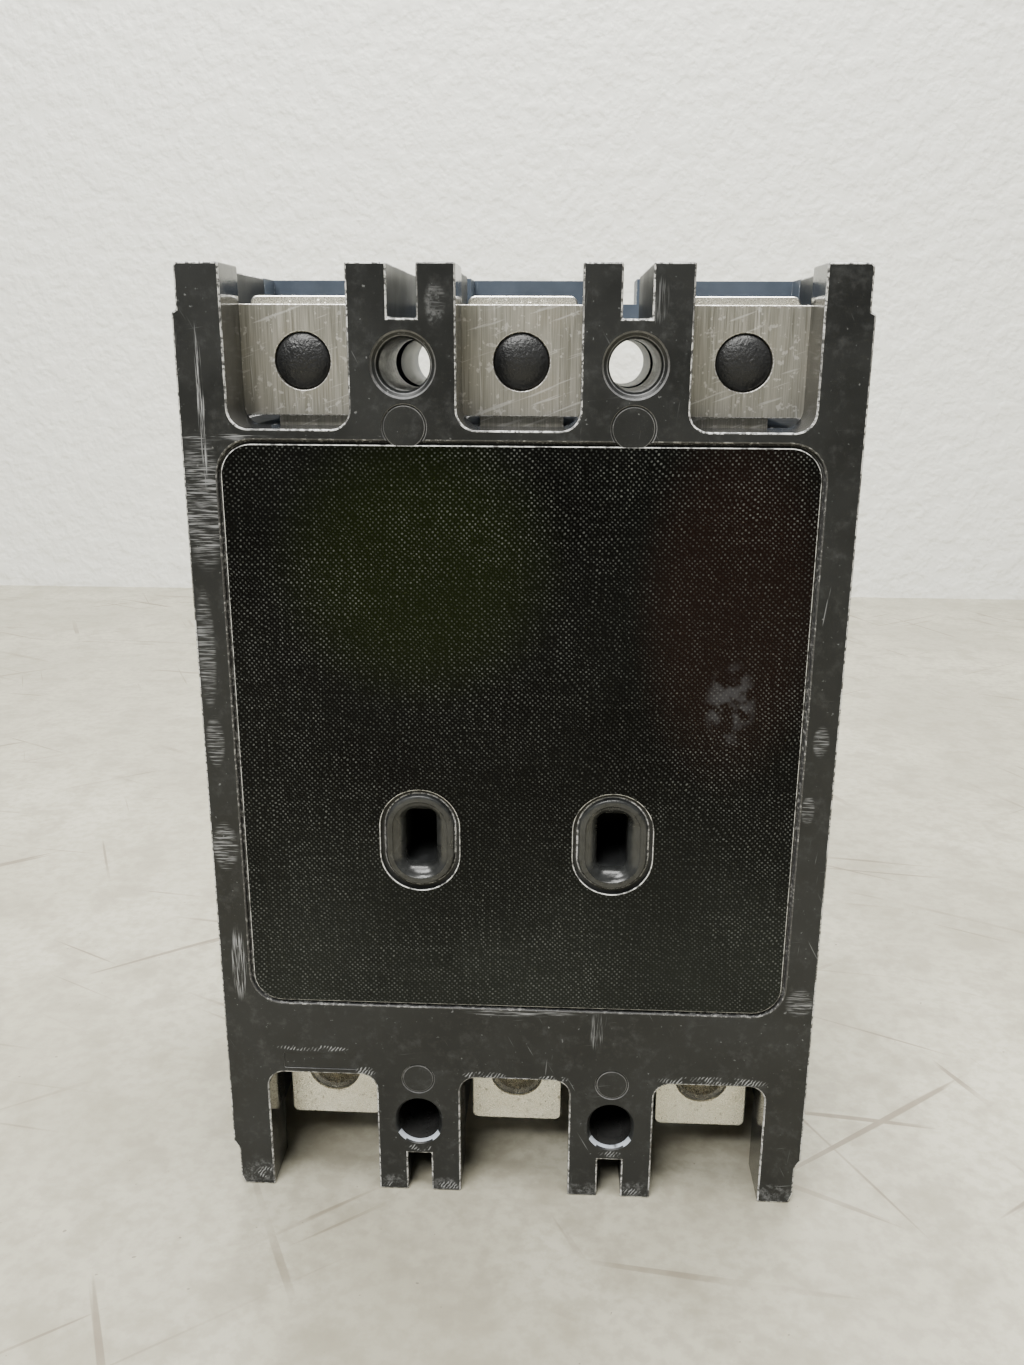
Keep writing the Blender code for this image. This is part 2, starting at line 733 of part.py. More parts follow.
def build_crossbar():
    """The insulating bar that carries all three contact arms, with the toggle's ears."""
    y, z = CROSSBAR
    reach = SIDE_WALL_X - 2.0
    profile = [(-reach, 3.0), (-reach + 1.5, CROSSBAR_RADIUS)]
    for x in POLES.values():
        neck = ARM_HALF + 0.4
        profile += [
            (x - neck, CROSSBAR_RADIUS),
            (x - neck, CROSSBAR_CORE),
            (x + neck, CROSSBAR_CORE),
            (x + neck, CROSSBAR_RADIUS),
        ]
    profile += [(reach - 1.5, CROSSBAR_RADIUS), (reach, 3.0)]
    pin = (y + CROSSBAR_PIN[0], z + CROSSBAR_PIN[1])
    ear = [(y - 4.0, z), (y + 4.0, z)] + arc(pin, 2.8, -20, 160) + [(y - 4.0, z + 2.0)]
    ears = prisms((ear, "x", -6.8, -5.0), (ear, "x", 5.0, 6.8))
    steps = [("UNION", ears), ("UNION", turned(rod("x", pin, 1.3, -6.0, 6.0)))]
    bar = turned((profile, "x", CROSSBAR))
    build("crossbar", "crossbar_plastic", bar, steps, (0.0, y, z), -OPEN_ANGLE)


def build_contact_arm(pole, x):
    """A copper arm round the crossbar's neck, its contact button facing the fixed one."""
    y, z = CROSSBAR
    front = PLATE_BACK + PLATE_THICKNESS + 1.5
    button = front + GAP
    outline = arc(CROSSBAR, 4.9, -200, 20, 10) + [
        (y - 1.5, z + 14.0),
        (button + 6.2, z + 21.0),
        (button + 4.8, z + 32.3),
        (button + 2.0, z + 33.0),
        (button + 1.6, z + 31.5),
        (button, z + 31.5),
        (button, z + 24.5),
        (button + 1.8, z + 24.5),
        (button + 2.4, z + 19.0),
        (y - 7.0, z + 12.0),
    ]
    hole = turned(rod("x", CROSSBAR, CROSSBAR_CORE + 0.3, x - 5, x + 5))
    arm = prisms((outline, "x", x - ARM_HALF, x + ARM_HALF))
    build(f"contact_arm_{pole}", "copper", arm, [("DIFFERENCE", hole)], (x, y, z), -OPEN_ANGLE)


def build_flexible_shunt(pole, x):
    """A braided strap in an S between the load strap and the contact arm."""
    centre = [(31.7, 72.3), (33.6, 74.6), (33.2, 77.2), (30.4, 78.4), (28.2, 79.6), (28.0, 82.4)]
    left = [(y - 0.8, z + 0.5) for y, z in centre]
    right = [(y + 0.8, z + 0.1) for y, z in centre]
    left[0] = (centre[0][0] - 0.8, centre[0][1])
    right[0] = (centre[0][0] + 0.8, centre[0][1])
    build(f"flexible_shunt_{pole}", "braid", prisms((left + right[::-1], "x", x - 3.0, x + 3.0)))


def link_outline(start, end, radius):
    """A flat link with round ends."""
    heading = math.degrees(math.atan2(end[1] - start[1], end[0] - start[0]))
    return arc(end, radius, heading - 90, heading + 90) + arc(start, radius, heading + 90, heading + 270)


def build_mechanism_frame():
    """Two side plates with the pins that the handle, cradle and latch turn on."""
    plate = [
        (BACK_WALL + GAP, 98.0),
        (36.0, 98.0),
        (43.0, 76.0),
        (58.0, 71.0),
        (66.0, 71.0),
        (66.0, 80.0),
        (58.0, 92.0),
        (56.5, 117.0),
        (42.3, 117.0),
        (42.3, 106.0),
        (BACK_WALL + GAP, 106.0),
    ]
    plates = prisms((plate, "x", -12.7, -11.5))
    steps = [
        ("UNION", prisms((plate, "x", 11.5, 12.7))),
        ("UNION", turned(rod("x", CRADLE_PIVOT, 1.6, -12.0, 12.0))),
        ("UNION", turned(rod("x", LATCH_PIVOT, 1.3, -12.0, 12.0))),
        ("UNION", turned(rod("x", HANDLE_PIVOT, 2.0, -12.0, -9.2), rod("x", HANDLE_PIVOT, 2.0, 9.2, 12.0))),
    ]
    build("mechanism_frame", "steel", plates, steps)


def build_handle():
    """The toggle: a curved shield under the cover's slot and the lever that comes through it."""
    y, z = HANDLE_PIVOT
    inner = SHIELD_RADIUS - 1.6
    low, high = SHIELD_SPAN
    shield = arc(HANDLE_PIVOT, SHIELD_RADIUS, low, high, 16) + arc(HANDLE_PIVOT, inner, high, low, 16)
    lever = [
        (y + inner + 0.5, z - 4.3),
        (y + HANDLE_RADIUS - 3.0, z - 3.4),
        (y + HANDLE_RADIUS, z - 2.2),
        (y + HANDLE_RADIUS, z + 2.2),
        (y + HANDLE_RADIUS - 3.0, z + 3.4),
        (y + inner + 0.5, z + 4.3),
    ]
    steps = [("UNION", prisms((lever, "x", -6.2, 6.2)))]
    shield_bm = prisms((shield, "x", -8.8, 8.8))
    build("handle", "handle_black", shield_bm, steps, (0.0, y, z), HANDLE_OFF_ANGLE)


def build_handle_yoke():
    """The steel lever inside the handle: two arms on the frame and a bar for the springs."""
    y, z = HANDLE_PIVOT
    bar = (y + YOKE_RADIUS, z)
    arm = link_outline(HANDLE_PIVOT, bar, 1.6)
    ring = circle(HANDLE_PIVOT, 3.8)
    steps = [
        ("UNION", prisms((arm, "x", 9.5, 10.9))),
        ("UNION", prisms((ring, "x", 9.5, 10.9), (ring, "x", -10.9, -9.5))),
        ("UNION", turned(rod("x", bar, 1.3, -10.0, 10.0))),
        ("DIFFERENCE", turned(rod("x", HANDLE_PIVOT, 2.3, -13.0, 13.0))),
    ]
    build("handle_yoke", "steel", prisms((arm, "x", -10.9, -9.5)), steps, (0.0, y, z), HANDLE_OFF_ANGLE)


def build_cradle():
    """The latched plate that the toggle pushes against."""
    outline = (
        arc(CRADLE_PIVOT, 3.2, 60, 250, 8)
        + [(UPPER_LINK_PIVOT[0] - 3.0, UPPER_LINK_PIVOT[1] - 1.5), (CRADLE_TIP[0] - 2.6, CRADLE_TIP[1] + 3.0)]
        + [(CRADLE_TIP[0] - 1.2, CRADLE_TIP[1]), (CRADLE_TIP[0] + 1.2, CRADLE_TIP[1])]
        + [(CRADLE_TIP[0] + 1.0, CRADLE_TIP[1] + 5.0), (UPPER_LINK_PIVOT[0] + 3.2, UPPER_LINK_PIVOT[1] + 2.0)]
    )
    holes = turned(rod("x", CRADLE_PIVOT, 1.9, -5.0, 5.0), rod("x", UPPER_LINK_PIVOT, 1.5, -5.0, 5.0))
    steps = [("DIFFERENCE", holes)]
    build("cradle", "steel", prisms((outline, "x", -1.1, 1.1)), steps, (0.0, *CRADLE_PIVOT))


def build_toggle_upper_link():
    """Two plates either side of the cradle, with the cradle pin and the knee pin."""
    outline = link_outline(UPPER_LINK_PIVOT, KNEE, 2.6)
    steps = [
        ("UNION", prisms((outline, "x", 1.6, 2.8))),
        ("UNION", turned(rod("x", UPPER_LINK_PIVOT, 1.2, -2.6, 2.6))),
        ("UNION", turned(rod("x", KNEE, 1.4, -4.8, 4.8))),
    ]
    build("toggle_upper_link", "steel", prisms((outline, "x", -2.8, -1.6)), steps, (0.0, *UPPER_LINK_PIVOT))


def turned_point(point, centre, angle):
    """A (Y, Z) point carried round a centre by an angle in degrees."""
    c = math.cos(math.radians(angle))
    s = math.sin(math.radians(angle))
    y = point[0] - centre[0]
    z = point[1] - centre[1]
    return centre[0] + y * c - z * s, centre[1] + y * s + z * c


def lower_link_pivot():
    """Where the crossbar's pin stands with the contacts open."""
    closed = (CROSSBAR[0] + CROSSBAR_PIN[0], CROSSBAR[1] + CROSSBAR_PIN[1])
    return turned_point(closed, CROSSBAR, -OPEN_ANGLE)


def build_toggle_lower_link():
    """Two plates from the crossbar's pin to an open seat for the knee pin."""
    pin = lower_link_pivot()
    heading = math.degrees(math.atan2(KNEE[1] - pin[1], KNEE[0] - pin[0]))
    seat = 2.7
    outline = (
        arc(pin, 2.6, heading + 90, heading + 270)
        + arc(KNEE, seat + 1.4, heading - 110, heading - 90, 1)
        + arc(KNEE, seat, heading - 90, heading - 270, 8)
        + arc(KNEE, seat + 1.4, heading - 270, heading - 250, 1)
    )
    web_y = pin[0] + 5.4 * math.cos(math.radians(heading))
    web_z = pin[1] + 5.4 * math.sin(math.radians(heading))
    steps = [
        ("UNION", prisms((outline, "x", 3.3, 4.5))),
        ("UNION", turned(rod("x", (web_y, web_z), 1.2, -4.0, 4.0))),
        ("DIFFERENCE", turned(rod("x", pin, 1.6, -6.0, 6.0))),
    ]
    build("toggle_lower_link", "steel", prisms((outline, "x", -4.5, -3.3)), steps, (0.0, *pin))


def build_latch():
    """The lever that holds the cradle's tip down until the trip bar releases it."""
    y, z = LATCH_PIVOT
    outline = arc(LATCH_PIVOT, 2.8, 170, 190, 1) + [(y - 4.2, z - 2.6), (y - 3.6, z - 3.6)] + arc(
        LATCH_PIVOT, 2.8, 250, 350, 5
    ) + [
        (y + 2.8, z + 6.0),
        (y + 2.2, z + 16.5),
        (y - 0.2, z + 17.5),
        (y - 0.2, z + 11.5),
        (y + 0.4, z + 6.0),
    ]
    hole = turned(rod("x", LATCH_PIVOT, 1.6, -5.0, 5.0))
    build("latch", "steel", prisms((outline, "x", -1.1, 1.1)), [("DIFFERENCE", hole)], (0.0, y, z))


def build_operating_spring(side, x):
    """A tension spring from the yoke's bar towards the knee, coiled round its own line."""
    bar = turned_point((HANDLE_PIVOT[0] + YOKE_RADIUS, HANDLE_PIVOT[1]), HANDLE_PIVOT, HANDLE_OFF_ANGLE)
    along = Vector((0.0, KNEE[0] - bar[0], KNEE[1] - bar[1])).normalized()
    across = Vector((1.0, 0.0, 0.0))
    upward = along.cross(across)
    centre = Vector((x, *bar))
    coil_radius = 1.35
    wire_radius = 0.45
    first = 3.2
    length = 21.0
    turns = 9
    steps_per_turn = 8
    sides = 4
    bm = bmesh.new()
    rings = []
    for i in range(turns * steps_per_turn + 1):
        share = i / (turns * steps_per_turn)
        angle = 2 * math.pi * i / steps_per_turn
        outward = across * math.cos(angle) + upward * math.sin(angle)
        middle = centre + along * (first + length * share) + outward * coil_radius
        ring = []
        for k in range(sides):
            turn = 2 * math.pi * k / sides
            offset = outward * math.cos(turn) + along * math.sin(turn)
            ring.append(bm.verts.new((middle + offset * wire_radius) * MM))
        rings.append(ring)
    bm.faces.new(rings[0])
    bm.faces.new(rings[-1])
    for near, far in zip(rings, rings[1:]):
        for k in range(sides):
            bm.faces.new((near[k], near[(k + 1) % sides], far[(k + 1) % sides], far[k]))
    build(f"operating_spring_{side}", "steel", bm, (), (x, *bar))


def build_trip_bar():
    """The bar across all poles that every tripping force turns."""
    y, z = TRIP_BAR
    bar = turned(rod("x", TRIP_BAR, 2.8, -SIDE_WALL_X + 1.5, SIDE_WALL_X - 1.5))
    fingers = [
        ([(y - 6.8, z - 8.0), (y - 5.4, z - 8.0), (y - 5.0, z - 1.5), (y, z - 1.5), (y, z + 1.5), (y - 6.8, z + 1.5)],
         "x", x - 2.5, x + 2.5)
        for x in POLES.values()
    ]
    button_x = BUTTON[0]
    tab = [(y - 1.4, z), (y + 1.4, z), (y + 4.6, z + 8.0), (y + 4.6, z + 12.5), (y + 3.0, z + 12.5), (y + 3.0, z + 8.6)]
    catch = [(y, z - 1.6), (y + 7.4, z - 0.6), (y + 7.4, z + 1.4), (y, z + 1.6)]
    steps = [
        ("UNION", prisms(*fingers)),
        ("UNION", prisms((tab, "x", button_x - 2, button_x + 2))),
        ("UNION", prisms((catch, "x", -2.0, 2.0))),
    ]
    build("trip_bar", "crossbar_plastic", bar, steps, (0.0, y, z))


def build_trip_button():
    """The push-to-trip button, its stem reaching in to the trip bar's tab."""
    x, z = BUTTON
    profile = [(58.2, 1.6), (74.0, 1.6), (74.0, 4.8), (76.5, 4.8), (76.5, 3.3), (85.4, 3.3), (86.0, 2.8)]
    build("trip_button", "button_red", turned((profile, "y", BUTTON)), (), (x, 74.0, z))


def build_trip_dial():
    """The magnetic trip setting, a slotted dial in the face."""
    x, z = DIAL
    profile = [(68.0, 2.0), (74.0, 2.0), (74.0, 7.4), (76.5, 7.4), (76.5, 6.1), (84.4, 6.1), (85.0, 5.6)]
    slot = prisms(block((x - 4.2, x + 4.2), (83.4, 87.0), (z - 0.6, z + 0.6)))
    build("trip_dial", "dial_cream", turned((profile, "y", DIAL)), [("DIFFERENCE", slot)], (x, 76.0, z))


def build_poles():
    """Everything that repeats for each pole, from the line end to the load end."""
    for pole, x in POLES.items():
        build_line_terminal(pole, x)
        build_line_hole_plug(pole, x)
        build_lug(f"line_lug_{pole}", x, LINE_LUG, LINE_SCREW_Z, "top", False)
        build_lug_screw(f"line_lug_screw_{pole}", x, LINE_SCREW_Z, LINE_LUG[2])
        build_arc_chute(pole, x)
        build_contact_arm(pole, x)
        build_flexible_shunt(pole, x)
        build_load_terminal(pole, x)
        build_bimetal(pole, x)
        build_magnet_yoke(pole, x)
        build_armature(pole, x)
        build_lug(f"load_lug_{pole}", x, LOAD_LUG, LOAD_SCREW_Z, "bottom", True)
        build_lug_screw(f"load_lug_screw_{pole}", x, LOAD_SCREW_Z, LOAD_LUG[2])


def total_depth():
    """From the back face to the tip of the handle at OFF."""
    corner = (HANDLE_PIVOT[0] + HANDLE_RADIUS, HANDLE_PIVOT[1] + 2.2)
    return turned_point(corner, HANDLE_PIVOT, HANDLE_OFF_ANGLE)[0]


def main():
    build_base()
    build_insulating_sheet()
    build_front_cover()
    build_accessory_cover()
    build_cover_screws()
    build_poles()
    build_crossbar()
    build_mechanism_frame()
    build_handle()
    build_handle_yoke()
    build_cradle()
    build_toggle_upper_link()
    build_toggle_lower_link()
    build_latch()
    build_operating_spring("left", -SPRING_X)
    build_operating_spring("right", SPRING_X)
    build_trip_bar()
    build_trip_button()
    build_trip_dial()


clear_scene()
MATERIALS = {name: make_finish(name) for name in FINISHES}
ASSEMBLY = bpy.data.objects.new("breaker_assembly", None)
bpy.context.scene.collection.objects.link(ASSEMBLY)
ASSEMBLY.location = (0.0, -total_depth() / 2 * MM, 0.0)
main()
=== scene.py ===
"""The looks of the three-pole molded case breaker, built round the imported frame.

Shapes are drawn in millimetres from the back mounting face (Y), the middle pole (X) and the
load end (Z), the same way as the CAD, and are moved into the frame by the CAD's own box.
"""

import math

import bmesh
import bpy
from mathutils import Matrix, Vector


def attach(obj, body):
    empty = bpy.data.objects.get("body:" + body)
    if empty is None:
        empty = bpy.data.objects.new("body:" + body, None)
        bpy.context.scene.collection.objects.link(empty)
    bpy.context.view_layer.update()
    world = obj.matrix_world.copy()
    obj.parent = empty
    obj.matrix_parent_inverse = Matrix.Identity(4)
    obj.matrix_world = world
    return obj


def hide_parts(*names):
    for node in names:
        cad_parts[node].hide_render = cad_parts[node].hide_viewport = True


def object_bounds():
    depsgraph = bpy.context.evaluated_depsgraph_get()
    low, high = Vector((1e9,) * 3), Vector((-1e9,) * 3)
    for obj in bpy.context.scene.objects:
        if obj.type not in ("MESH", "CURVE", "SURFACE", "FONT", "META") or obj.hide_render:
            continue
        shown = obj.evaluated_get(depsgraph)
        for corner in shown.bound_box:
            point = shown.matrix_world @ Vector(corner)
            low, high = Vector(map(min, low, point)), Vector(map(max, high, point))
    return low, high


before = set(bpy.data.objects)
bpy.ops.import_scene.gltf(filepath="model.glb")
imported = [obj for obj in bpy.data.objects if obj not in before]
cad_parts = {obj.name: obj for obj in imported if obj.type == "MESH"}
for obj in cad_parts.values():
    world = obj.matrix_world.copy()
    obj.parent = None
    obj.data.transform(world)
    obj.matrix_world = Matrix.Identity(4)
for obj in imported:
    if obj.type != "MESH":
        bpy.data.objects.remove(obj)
CAD_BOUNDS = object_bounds()

MM = 0.001
BACK = CAD_BOUNDS[0][1]
SEGMENTS = 48
CUT, JOIN, KEEP = "DIFFERENCE", "UNION", "INTERSECT"

# Case
WIDTH = (CAD_BOUNDS[1][0] - CAD_BOUNDS[0][0]) / MM
HEIGHT = (CAD_BOUNDS[1][2] - CAD_BOUNDS[0][2]) / MM
POLE_PITCH = 35.0
POLES = {"a": -POLE_PITCH, "b": 0.0, "c": POLE_PITCH}
BARRIER_X = POLE_PITCH / 2
BARRIERS = (-BARRIER_X, BARRIER_X)
BASE_DEPTH = 44.0
END_DEPTH = 54.0
BODY_DEPTH = 80.0
FACE_DEPTH = 84.0
ESCUTCHEON_DEPTH = 86.0
GAP = 0.3
HALF_WIDTH = WIDTH / 2
SIDE_WALL_X = 49.1
LEG_DEPTH = 10.3
BACK_WALL = 4.2
STEP_TOP = 0.75
STEP_BOTTOM = 0.95
LINE_FLOOR = 139.1
LOAD_WINDOW_TOP = 24.5
LOAD_ROOF = 36.5
CHAMBER = (40.0, 136.2)
COMPARTMENT_HALF = 10.7
CHAMBER_HALF = 15.0
LINE_WINDOW_HALF = 9.4
LINE_SPREAD = 1.008
LOAD_WINDOW_HALF = 9.9
WINDOW_RADIUS = 3.0

# Mounting holes, barrier slots and the marks left by the mould's ejector pins
MOUNT_TOP_Z = 148.7
MOUNT_BOTTOM_Z = 15.0
BORE_RADIUS = 3.9
BOTTOM_BORE_HALF = (3.75, 4.35)
BORE_DEPTH = 20.3
SLOT_HALF = 2.18
TOP_SLOT_FLOOR = 155.4
BOTTOM_SLOT_ROOF = 8.05
SLOT_BARRIER_DEPTH = 36.2
EJECTOR_MARKS = ((3.55, 139.5), (3.05, 24.0))
PADS = ((-35.25, 27.1, 6.6, 1.62), (0.0, 26.75, 2.9, 1.95))

# Insulating sheet and the two collars
RECESS_DEPTH = 0.9
RECESS = (46.9, 38.9, 137.4)
RECESS_RADIUS = 5.6
SHEET_MARGIN = 0.6
SHEET_THICKNESS = 0.6
COLLAR_X = 16.3
COLLARS = (-COLLAR_X, COLLAR_X)
COLLAR_Z = 70.9
COLLAR_HALF = (5.8, 8.2)
SHEET_CUTOUT_HALF = (6.7, 9.15)
COLLAR_SLOT_HALF = (2.6, 5.0)
COLLAR_SLOT_DEPTH = 18.0

# Cover screws
COVER_SCREW_Z = (131.6, 38.2)
COVER_SCREW_BOSS = 5.2
COVER_SCREW_HOLE = 2.3

# Terminals and lugs
PLATE_BACK = 10.5
PLATE_THICKNESS = 2.8
PLATE_HALF = 10.3
PLATE_TOP = 157.7
PLATE_BOTTOM = 140.6
PLATE_HOLE_RADIUS = 4.5
PLATE_HOLE_Z = 149.05
TONGUE_HALF = 6.8
TONGUE_SHIFT = 2.3
TONGUE_END = 108.0
TONGUE_SET_BACK = 1.3
LINE_LUG = (8.75, 13.6, 36.0, 141.2, 159.1)
LINE_SCREW_Z = 149.5
LOAD_LUG = (8.55, 10.6, 33.0, 8.3, 30.0)
LOAD_SCREW_Z = 18.4
WIRE_RADIUS = 6.2
LUG_BORE_RADIUS = 4.1
THREAD_PITCH = 1.25

# Front
HANDLE_PIVOT = (50.0, 84.0)
HANDLE_OFF_ANGLE = -22.5
HANDLE_RADIUS = 62.0
SHIELD_RADIUS = 27.0
SHIELD_SPAN = (-64.0, 54.0)
BUTTON = (26.0, 78.0)
DIAL = (-28.0, 62.0)

# Stage and camera: metres for the stage, millimetres from the back and degrees for the camera
STAGE_HALF = 1.6
WALL_HEIGHT = 1.4
WALL_DISTANCE = 0.54
ROOM_GLOW = 0.15
BACKDROP_GLOW = 0.75
CAMERA_LENS = 30.16
CAMERA_AT = (7.49, -177.48, 151.55)
CAMERA_TURNS = (2.669, -16.421, -0.258)


# ---------------------------------------------------------------- mesh helpers


def place(axis, across, along):
    """A point in the frame from case millimetres: two across an axis and one along it."""
    first, second = across
    point = {"x": (along, first, second), "y": (first, along, second), "z": (first, second, along)}
    return Vector(point[axis]) * MM + Vector((0.0, BACK, 0.0))


def loft(bm, axis, sections):
    """A solid through outlines of equal point count, each at its distance along an axis."""
    rings = [
        [bm.verts.new(place(axis, point, along)) for point in outline] for along, outline in sections
    ]
    bm.faces.new(rings[0])
    bm.faces.new(rings[-1])
    count = len(rings[0])
    for near, far in zip(rings, rings[1:]):
        for i in range(count):
            j = (i + 1) % count
            bm.faces.new((near[i], near[j], far[j], far[i]))


def add_prism(bm, outline, axis, start, end):
    loft(bm, axis, [(start, outline), (end, outline)])


def add_turned(bm, profile, axis, centre, segments=SEGMENTS):
    loft(bm, axis, [(along, circle(centre, radius, segments)) for along, radius in profile])


def circle(centre, radius, segments=SEGMENTS):
    step = 2 * math.pi / segments
    return [
        (centre[0] + radius * math.cos(i * step), centre[1] + radius * math.sin(i * step))
        for i in range(segments)
    ]


def arc(centre, radius, start, end, steps=8):
    turns = [math.radians(start + (end - start) * i / steps) for i in range(steps + 1)]
    return [(centre[0] + radius * math.cos(t), centre[1] + radius * math.sin(t)) for t in turns]


def rounded(x0, x1, z0, z1, radius, steps=8):
    return (
        arc((x0 + radius, z0 + radius), radius, 180, 270, steps)
        + arc((x1 - radius, z0 + radius), radius, 270, 360, steps)
        + arc((x1 - radius, z1 - radius), radius, 0, 90, steps)
        + arc((x0 + radius, z1 - radius), radius, 90, 180, steps)
    )


def obround(centre, half, steps=20):
    x, z = centre
    reach = half[1] - half[0]
    top = arc((x, z + reach), half[0], 0, 180, steps)
    return top + arc((x, z - reach), half[0], 180, 360, steps)


def rectangle(x0, x1, z0, z1):
    return [(x0, z0), (x1, z0), (x1, z1), (x0, z1)]


def prisms(*shapes):
    bm = bmesh.new()
    for outline, axis, start, end in shapes:
        add_prism(bm, outline, axis, start, end)
    return bm


def block(x, y, z):
    """A box from its spans, as a shape for prisms."""
    return rectangle(*x, *z), "y", *y


def turned(*shapes):
    bm = bmesh.new()
    for profile, axis, centre in shapes:
        add_turned(bm, profile, axis, centre)
    return bm


def rod(axis, centre, radius, start, end):
    """A round bar, as a shape for turned."""
    return [(start, radius), (end, radius)], axis, centre


def add_object(name, data):
    obj = bpy.data.objects.new(name, data)
    bpy.context.scene.collection.objects.link(obj)
    return obj


def object_from(bm, name):
    bmesh.ops.recalc_face_normals(bm, faces=bm.faces)
    mesh = bpy.data.meshes.new(name)
    bm.to_mesh(mesh)
    bm.free()
    return add_object(name, mesh)


def keep_evaluated(obj):
    graph = bpy.context.evaluated_depsgraph_get()
    mesh = bpy.data.meshes.new_from_object(obj.evaluated_get(graph))
    obj.modifiers.clear()
    obj.data = mesh


def cut(obj, steps):
    """Applies Boolean steps of (operation, mesh) to an object, keeping the result as its mesh."""
    helpers = []
    for operation, helper_bm in steps:
        helper = object_from(helper_bm, obj.name + "_cutter")
        helpers.append(helper)
        boolean = obj.modifiers.new(operation, "BOOLEAN")
        boolean.operation = operation
        boolean.object = helper
        boolean.solver = "EXACT"
    keep_evaluated(obj)
    for helper in helpers:
        bpy.data.objects.remove(helper)
    return obj


def carve(name, bm, steps=()):
    return cut(object_from(bm, name), steps) if steps else object_from(bm, name)


def finish_edges(
    obj, width, face_finish, edge_finish=None, angle=32, segments=2, details=(), clamp=True
):
    """A small bevel with its own finish on each sharp edge, then fine details, then normals."""
    obj.data.materials.clear()
    obj.data.materials.append(face_finish)
    obj.data.materials.append(edge_finish or face_finish)
    for polygon in obj.data.polygons:
        polygon.material_index = 0
    weld = obj.modifiers.new("weld", "WELD")
    weld.merge_threshold = 0.00001
    bevel = obj.modifiers.new("bevel", "BEVEL")
    bevel.width = width * MM
    bevel.segments = segments
    bevel.limit_method = "ANGLE"
    bevel.angle_limit = math.radians(angle)
    bevel.use_clamp_overlap = clamp
    bevel.material = 1
    keep_evaluated(obj)
    if details:
        cut(obj, details)
    obj.data.shade_smooth()
    obj.data.set_sharp_from_angle(angle=math.radians(50))
    weighted = obj.modifiers.new("weighted", "WEIGHTED_NORMAL")
    weighted.mode = "FACE_AREA"
    weighted.weight = 100
    weighted.keep_sharp = True
    keep_evaluated(obj)
    return obj


def paint(obj, finish, wanted):
    """Gives a finish to the faces whose centre, in case millimetres, and normal are wanted."""
    obj.data.materials.append(finish)
    index = len(obj.data.materials) - 1
    for polygon in obj.data.polygons:
        centre = polygon.center / MM
        centre.y -= BACK / MM
        if wanted(centre, polygon.normal):
            polygon.material_index = index


def stand_in(piece, body, node):
    """The piece moves with a body and is shown in place of a CAD node."""
    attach(piece, body)
    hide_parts(node)


# ------------------------------------------------------------ material helpers


